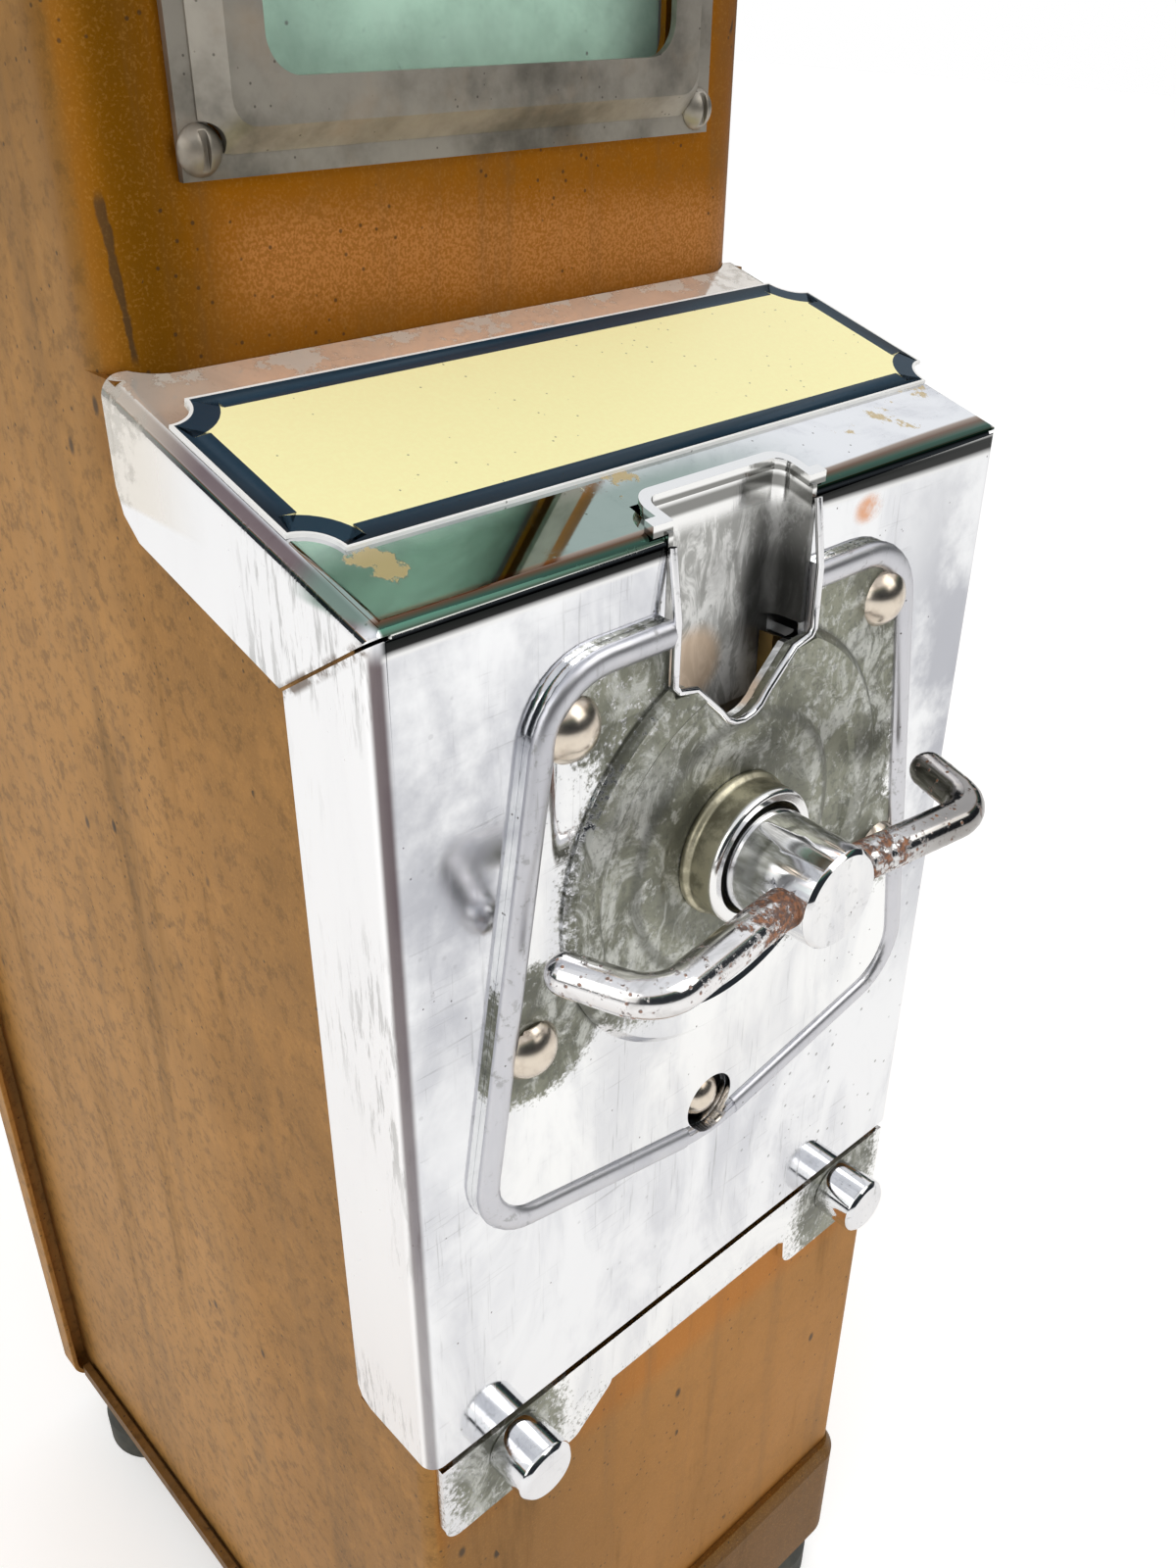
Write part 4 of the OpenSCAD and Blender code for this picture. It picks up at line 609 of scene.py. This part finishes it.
def cast_iron():
    """Machined grey iron, slightly oiled."""
    s = Surface("cast_iron", coat_weight=0.2)
    grit = s.noise(700, 4, 0.65)
    colour = s.mix(s.ease(grit, 0.4, 0.65), (0.1, 0.1, 0.105), (0.17, 0.165, 0.16))
    return s.set(base_color=colour, metallic=0.85, roughness=0.42 + 0.2 * grit,
                 normal=s.bump(grit, 0.0001, 0.4))


def old_rubber():
    """Dark rubber with a dusty bloom."""
    s = Surface("foot_rubber")
    dust = s.noise(90, 5, 0.6)
    colour = s.mix(s.ease(dust, 0.4, 0.7), (0.03, 0.032, 0.026), (0.085, 0.08, 0.062))
    return s.set(base_color=colour, roughness=0.62 + 0.2 * dust, normal=s.bump(s.noise(800, 3), 0.00006, 0.4))


def clear_glass():
    """Clear window glass with a faint smear."""
    s = Surface("window_glass", ior=1.5)
    smear = s.ease(s.noise(70, 4), 0.5, 0.75)
    return s.set(base_color=(0.9, 0.93, 0.92), roughness=0.02 + 0.05 * smear, alpha=0.07 + 0.04 * smear)


def cash_tin():
    """Dark satin enamel of the cash box."""
    s = Surface("cash_tin")
    cloud = s.noise(40, 5)
    colour = s.mix(s.ease(cloud, 0.4, 0.7), (0.055, 0.06, 0.065), (0.09, 0.095, 0.1))
    return s.set(base_color=colour, metallic=0.2, roughness=0.45 + 0.15 * cloud,
                 normal=s.bump(s.noise(500, 3), 0.00005, 0.3))


FINISHES = {}


def make_finishes(colours):
    """Makes every material once, under the name that the pieces ask for."""
    deep, faded = tuple(colours.enamel), tuple(colours.faded)
    FINISHES.update(
        body_paint=enamel("body_enamel", deep, faded),
        base_paint=enamel("base_enamel", shaded(deep, 0.45), shaded(faded, 0.45), 1.3),
        cover_chrome=cover_plate(),
        worn_plate=tarnished("worn_plate", plate_tarnish),
        worn_strip=tarnished("worn_strip", strip_tarnish),
        hub_chrome=chrome("hub_chrome", 1.5, (0.83, 0.83, 0.83), 0.04),
        worn_bead=chrome("worn_bead", 1.0, (0.62, 0.62, 0.65), 0.3),
        bright_chrome=chrome("bright_chrome", 0.7, (0.8, 0.8, 0.81)),
        collar_metal=collar_metal(),
        rusted_chrome=rusted_chrome(),
        warm_nickel=polished_nickel(),
        scoop_steel=scoop_steel(),
        bezel_steel=old_bezel(),
        zinc_steel=plain_steel("zinc_steel", (0.56, 0.57, 0.58), 0.38),
        shaft_steel=plain_steel("shaft_steel", (0.6, 0.61, 0.62), 0.24, (1200, 40, 1200), 0.2),
        glass=clear_glass(),
        green_card=faded_card(tuple(colours.card)),
        label_enamel=printed("label_yellow", tuple(colours.plate_yellow)),
        label_border=printed("label_navy", tuple(colours.plate_navy), 0.1),
        label_edge=printed("label_edge", (0.85, 0.85, 0.83), 0.1),
        cash_tin=cash_tin(),
        brass=yellow_metal(),
        cast_iron=cast_iron(),
        foot_rubber=old_rubber(),
    )


# ---------------------------------------------------------------- modelling helpers


def alone(piece):
    """Selects one object only, and makes it active."""
    bpy.ops.object.select_all(action="DESELECT")
    piece.select_set(True)
    bpy.context.view_layer.objects.active = piece


def editing(piece):
    """Opens a piece in edit mode with everything selected."""
    alone(piece)
    bpy.ops.object.mode_set(mode="EDIT")
    bpy.ops.mesh.select_all(action="SELECT")


def done_editing():
    bpy.ops.object.mode_set(mode="OBJECT")


def apply(piece, kind, **settings):
    """Adds a modifier to a piece and applies it."""
    alone(piece)
    modifier = piece.modifiers.new(kind.title(), kind)
    for setting, value in settings.items():
        setattr(modifier, setting, value)
    bpy.ops.object.modifier_apply(modifier=modifier.name)


def smooth(piece, degrees):
    alone(piece)
    bpy.ops.object.shade_smooth_by_angle(angle=math.radians(degrees))


def paint(piece, *slots):
    piece.data.materials.clear()
    for slot in slots:
        piece.data.materials.append(FINISHES[slot])


def body_of(node):
    return frame["nodes"][node]["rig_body"]


# How softened() treats an edge: millimetres for the first, degrees for the rest
MERGED_UNDER, FLAT_UNDER, SHARP_OVER, ROUND_ALL_OVER = 0.002, 0.6, 30, 60


def softened(node, slot, finish=None, width=None, segments=2, round_over=40):
    """A CAD node's own shape with its sharp edges rounded, so that they catch the light. It takes the
    node's place. Faces that meet at less than the round_over angle are shaded as one."""
    edge = bpy.context.scene.machine_sizes.edge_round if width is None else width * MM
    source = frame["nodes"][node]
    piece = bpy.data.objects.new(node + "_finished", source.data.copy())
    bpy.context.scene.collection.objects.link(piece)
    editing(piece)
    bpy.ops.mesh.remove_doubles(threshold=MERGED_UNDER * MM)
    bpy.ops.mesh.dissolve_limited(angle_limit=math.radians(FLAT_UNDER))
    done_editing()
    if edge:
        apply(piece, "BEVEL", width=edge, segments=segments, limit_method="ANGLE",
              angle_limit=math.radians(SHARP_OVER), use_clamp_overlap=True)
    smooth(piece, round_over)
    if round_over < ROUND_ALL_OVER:
        apply(piece, "WEIGHTED_NORMAL", keep_sharp=True, weight=100)
    paint(piece, finish or slot)
    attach(piece, body_of(node))
    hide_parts(node)
    return piece


def tube(name, way, radius, rings):
    """A round bead along a line of places, given across, behind the face and below the fold."""
    bpy.ops.object.select_all(action="DESELECT")
    bpy.ops.curve.primitive_nurbs_path_add(location=(0, 0, 0))
    piece = bpy.context.active_object
    piece.name = name
    line = piece.data
    line.splines.clear()
    spline = line.splines.new("POLY")
    spline.points.add(len(way) - 1)
    for point, place in zip(spline.points, way):
        point.co = (*at(*place), 1)
    line.dimensions = "3D"
    line.bevel_depth = radius * MM
    line.bevel_resolution = rings
    line.use_fill_caps = True
    bpy.ops.object.convert(target="MESH")
    return piece


# ---------------------------------------------------------------- operators


# What the chrome mirrors of the room, from straight down (0) to straight up (1)
ROOM_TONES = [(0.0, (0.02, 0.02, 0.025)), (0.565, (0.025, 0.03, 0.035)), (0.58, (0.05, 0.13, 0.1)),
              (0.615, (0.05, 0.14, 0.11)), (0.625, (0.3, 0.15, 0.08)), (0.64, (0.34, 0.18, 0.1)),
              (0.66, (0.93, 0.94, 0.96)), (1.0, (0.86, 0.88, 0.92))]


class MACHINE_OT_stage(bpy.types.Operator):
    """Makes the floor, the soft studio light and the camera at the photograph's viewpoint"""

    bl_idname = "machine.stage"
    bl_label = "Stage"

    def execute(self, context):
        self.floor()
        self.light()
        self.camera()
        return {"FINISHED"}

    def floor(self):
        """A pale plain floor, lifted a little for the camera and in reflections, with its shadow kept"""
        bpy.ops.mesh.primitive_plane_add(size=8, location=(0, 1.5, -0.0002))
        floor = bpy.context.active_object
        floor.name = "floor"
        s = Surface("pale_floor", roughness=0.7)
        s.set(base_color=(0.86, 0.855, 0.84))
        plain = s.shader.outputs[0]
        path = s.node("ShaderNodeLightPath").outputs
        seen = Field(s, path["Is Camera Ray"]).most(Field(s, path["Is Glossy Ray"]))
        dim, bright = (s.node("ShaderNodeEmission", None, {
            "Color": (1, 0.998, 0.99), "Strength": lift}).outputs[0] for lift in (0.2, 0.36))
        glow = s.node("ShaderNodeMixShader", None, {0: path["Is Camera Ray"], 1: dim, 2: bright}).outputs[0]
        lifted = s.node("ShaderNodeAddShader", None, {0: plain, 1: glow}).outputs[0]
        both = s.node("ShaderNodeMixShader", None, {0: seen, 1: plain, 2: lifted}).outputs[0]
        s.feed(s.nodes["Material Output"].inputs[0], both)
        floor.data.materials.append(s.material)

    def light(self):
        """A white room, dark below and along the horizon, for the chrome to mirror, and two soft lamps"""
        world = bpy.data.worlds.new("white_room")
        bpy.context.scene.world = world
        world.use_nodes = True
        w = Graph(world.node_tree)
        path = w.node("ShaderNodeLightPath").outputs
        direction = w.node("ShaderNodeTexCoord").outputs["Generated"]
        ways = w.node("ShaderNodeSeparateXYZ", None, {0: direction}).outputs
        up, back = Field(w, ways["Z"]), Field(w, ways["Y"])
        # the dark reaches higher in front of the machine than behind it
        room = w.tones(ROOM_TONES, up.least(back * 0.45 + up) * 0.5 + 0.5)
        seen = w.mix(path["Is Camera Ray"], room, (1, 1, 1))
        w.feed(w.nodes["Background"].inputs[0], w.mix(path["Is Diffuse Ray"], seen, (0.74, 0.74, 0.75)))
        self.lamp("window_light", (0.5, -0.9, 1.1), size=0.8, watts=4.5, colour=(1.0, 0.98, 0.95))
        self.lamp("front_fill", (-1.0, -0.3, 0.7), size=0.9, watts=3.5, colour=(1.0, 0.99, 0.97))

    def lamp(self, name, place, size, watts, colour):
        """A square lamp, turned to the middle of the machine"""
        bpy.ops.object.light_add(type="AREA", location=place)
        lamp = bpy.context.active_object
        lamp.name = name
        lamp.data.size = size
        lamp.data.energy = watts
        lamp.data.color = colour
        middle = Vector((0, 0, 0.25))
        lamp.rotation_euler = (middle - Vector(place)).to_track_quat("-Z", "Y").to_euler()

    def camera(self):
        """The viewpoint that was fitted to the cover's folds, seen in a frame of 1200 by 1600 pixels."""
        focal_px, tall_px, sensor = 1443.2, 1600, 36
        heading, pitch, roll = (math.radians(d) for d in (43.384, 30.67, 0.85))
        eye = at(-125.81, -106.04, -58.34)
        bpy.ops.object.camera_add(location=eye)
        camera = bpy.context.active_object
        camera.name = "camera"
        ahead = Vector((math.sin(heading), math.cos(heading), 0))
        forward = math.cos(pitch) * ahead - math.sin(pitch) * Vector((0, 0, 1))
        level = Vector((math.cos(heading), -math.sin(heading), 0))
        up = level.cross(forward)
        right = math.cos(roll) * level + math.sin(roll) * up
        camera.matrix_world = Matrix.Translation(eye) @ Matrix(
            (right, right.cross(forward), -forward)).transposed().to_4x4()
        camera.data.sensor_width = sensor
        camera.data.lens = focal_px / tall_px * sensor
        camera.data.clip_start = 0.005
        bpy.context.scene.camera = camera
        bpy.context.scene.view_settings.view_transform = "Standard"


class MACHINE_OT_body(bpy.types.Operator):
    """Dresses the cabinet, its lid, base, door and feet"""

    bl_idname = "machine.body"
    bl_label = "Cabinet and base"

    def execute(self, context):
        for node in ("cabinet_shell", "front_panel", "top_cap", "back_door"):
            softened(node, "body_paint")
        softened("base_pan", "base_paint", width=0.6)
        softened("feet", "foot_rubber", width=0.8, segments=3)
        return {"FINISHED"}


class MACHINE_OT_coin_unit(bpy.types.Operator):
    """Dresses the chromed cover and what is fixed to its front"""

    bl_idname = "machine.coin_unit"
    bl_label = "Coin unit"

    def execute(self, context):
        softened("coin_cover", "cover_chrome", width=0.12)
        self.plate()
        softened("dial_boss", "worn_plate", width=0.2)
        softened("coin_scoop", "scoop_steel", width=0.4, segments=3)
        softened("face_rivets", "warm_nickel", width=0)
        softened("face_screw", "warm_nickel", width=0)
        softened("delivery_strip", "worn_plate", "worn_strip", width=0.7, segments=4)
        softened("delivery_posts", "bright_chrome")
        self.notch_rim()
        for side in (-1, 1):
            self.bead(side)
        return {"FINISHED"}

    def plate(self):
        """The face plate, with a finish of its own on all that stands proud of it"""
        piece = softened("face_plate", "worn_plate", width=0.42, segments=3, round_over=75)
        paint(piece, "worn_plate", "worn_bead")
        proud = FACE_Y - (PLATE_T + 0.05) * MM
        for face in piece.data.polygons:
            if face.center.y < proud:
                face.material_index = 1

    def bead(self, side):
        """Half of the round bead pressed along the plate's edge, from the notch to the lower hole"""
        inside, half_width, flatten = 1.75, 1.85, 0.62
        notch_clear, hole_clear = 13.4, 5.4
        corners = [(PLATE_TOP_HALF - PLATE_TOP_ROUND, PLATE_TOP + PLATE_TOP_ROUND, PLATE_TOP_ROUND),
                   (PLATE_LOW_HALF - PLATE_LOW_ROUND, PLATE_LOW - PLATE_LOW_UP, PLATE_LOW_ROUND),
                   (0, PLATE_LOW - PLATE_FOOT_ROUND, PLATE_FOOT_ROUND)]
        ring = []
        for x, drop, radius in corners:
            for degrees in range(0, 360, 10):
                turn = math.radians(degrees)
                for way in (-1, 1):
                    ring.append((way * (x + (radius - inside) * math.cos(turn)),
                                 drop + (radius - inside) * math.sin(turn)))
        outline = [ring[i] for i in convex_hull_2d(ring)]
        half = [point for point in outline if point[0] * side > hole_clear]
        half.sort(key=lambda point: math.atan2(point[1] - PLATE_LOW / 2, point[0] * side))
        foot_round = PLATE_FOOT_ROUND - inside
        foot = PLATE_LOW - PLATE_FOOT_ROUND + math.sqrt(foot_round ** 2 - hole_clear ** 2)
        half = [(side * notch_clear, PLATE_TOP + inside)] + half + [(side * hole_clear, foot)]
        name = "plate_bead_" + ("left" if side < 0 else "right")
        piece = tube(name, [(x, -PLATE_T, drop) for x, drop in half], radius=half_width, rings=4)
        editing(piece)
        bpy.ops.transform.resize(value=(1, flatten, 1), center_override=at(0, -PLATE_T, 0))
        done_editing()
        smooth(piece, 60)
        paint(piece, "worn_bead")
        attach(piece, body_of("face_plate"))

    def notch_rim(self):
        """The trough's front edge is turned out into a thin rim round the notch"""
        half, shoulder, low, bend = 13.2, 19.4, 22.6, 5.2
        # the rim lies on the cover above the plate's edge, and on the plate below it
        plate_edge, on_cover, on_plate = 9, -0.5, -1.9
        way = [(half, 1.2), (half, 10), (half, shoulder - 0.8), (half - 0.7, shoulder + 0.2),
               (9.4, shoulder + 0.9)]
        for degrees in (62, 40, 20, 0):
            turn = math.radians(degrees)
            way.append((bend * math.sin(turn), low + bend * math.cos(turn)))
        way += [(-x, drop) for x, drop in reversed(way[:-1])]
        rim = tube("notch_rim", [(x, on_cover if drop < plate_edge else on_plate, drop) for x, drop in way],
                   radius=0.55, rings=3)
        smooth(rim, 60)
        paint(rim, "bright_chrome")
        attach(rim, body_of("coin_scoop"))


class MACHINE_OT_label(bpy.types.Operator):
    """Dresses the instruction plate: a yellow field in a navy border with a thin white edge"""

    bl_idname = "machine.label"
    bl_label = "Instruction plate"

    def execute(self, context):
        white_edge, border = 0.0004, context.scene.machine_sizes.border
        piece = softened("instruction_plate", "label_enamel", width=0)
        paint(piece, "label_edge", "label_border", "label_enamel")
        editing(piece)
        bpy.ops.mesh.select_all(action="DESELECT")
        bpy.ops.mesh.select_mode(type="FACE")
        mesh = bmesh.from_edit_mesh(piece.data)
        up = max(mesh.faces, key=lambda face: face.normal.z * face.calc_area())
        up.select = True
        mesh.faces.active = up
        for slot, width in ((1, white_edge), (2, border)):
            bpy.ops.mesh.inset(thickness=width, use_even_offset=True)
            piece.active_material_index = slot
            bpy.ops.object.material_slot_assign()
        done_editing()
        return {"FINISHED"}


class MACHINE_OT_handle(bpy.types.Operator):
    """Dresses the T-handle, its hub and the collar"""

    bl_idname = "machine.handle"
    bl_label = "Handle"

    def execute(self, context):
        softened("handle_hub", "bright_chrome", "hub_chrome", width=0.3)
        softened("hub_collar", "bright_chrome", "collar_metal")
        softened("handle_bar", "bright_chrome", "rusted_chrome", width=0)
        return {"FINISHED"}


class MACHINE_OT_window(bpy.types.Operator):
    """Dresses the sign window's frame and its screws"""

    bl_idname = "machine.window"
    bl_label = "Sign window"

    def execute(self, context):
        softened("window_bezel", "bezel_steel", width=0.5, segments=3)
        softened("bezel_screws", "bezel_steel", width=0.1)
        return {"FINISHED"}


class MACHINE_OT_rest(bpy.types.Operator):
    """Gives the remaining pieces their finish"""

    bl_idname = "machine.rest"
    bl_label = "Mechanism and fittings"

    def execute(self, context):
        for row in frame["record"]["subparts"]:
            node = frame["nodes"][row["node"]]
            if not node.hide_render:
                paint(node, row["material_slot"])
        return {"FINISHED"}


class MACHINE_PT_panel(bpy.types.Panel):
    """Lists the steps that build the machine"""

    bl_idname = "MACHINE_PT_panel"
    bl_label = "Stamp Machine"
    bl_space_type = "VIEW_3D"
    bl_region_type = "UI"
    bl_category = "Stamp Machine"

    def draw(self, context):
        for step in STEPS:
            self.layout.operator(step.bl_idname)
        for group in (context.scene.machine_colours, context.scene.machine_sizes):
            for name in group.__annotations__:
                self.layout.prop(group, name)


STEPS = (MACHINE_OT_stage, MACHINE_OT_body, MACHINE_OT_coin_unit, MACHINE_OT_label, MACHINE_OT_handle,
         MACHINE_OT_window, MACHINE_OT_rest)
CLASSES = (MachineColours, MachineSizes, *STEPS, MACHINE_PT_panel)


def register():
    for cls in CLASSES:
        bpy.utils.register_class(cls)
    bpy.types.Scene.machine_colours = PointerProperty(type=MachineColours)
    bpy.types.Scene.machine_sizes = PointerProperty(type=MachineSizes)


def unregister():
    del bpy.types.Scene.machine_sizes
    del bpy.types.Scene.machine_colours
    for cls in reversed(CLASSES):
        bpy.utils.unregister_class(cls)


def main():
    register()
    make_finishes(bpy.context.scene.machine_colours)
    bpy.ops.machine.stage()
    bpy.ops.machine.body()
    bpy.ops.machine.coin_unit()
    bpy.ops.machine.label()
    bpy.ops.machine.handle()
    bpy.ops.machine.window()
    bpy.ops.machine.rest()


if __name__ == "__main__":
    main()
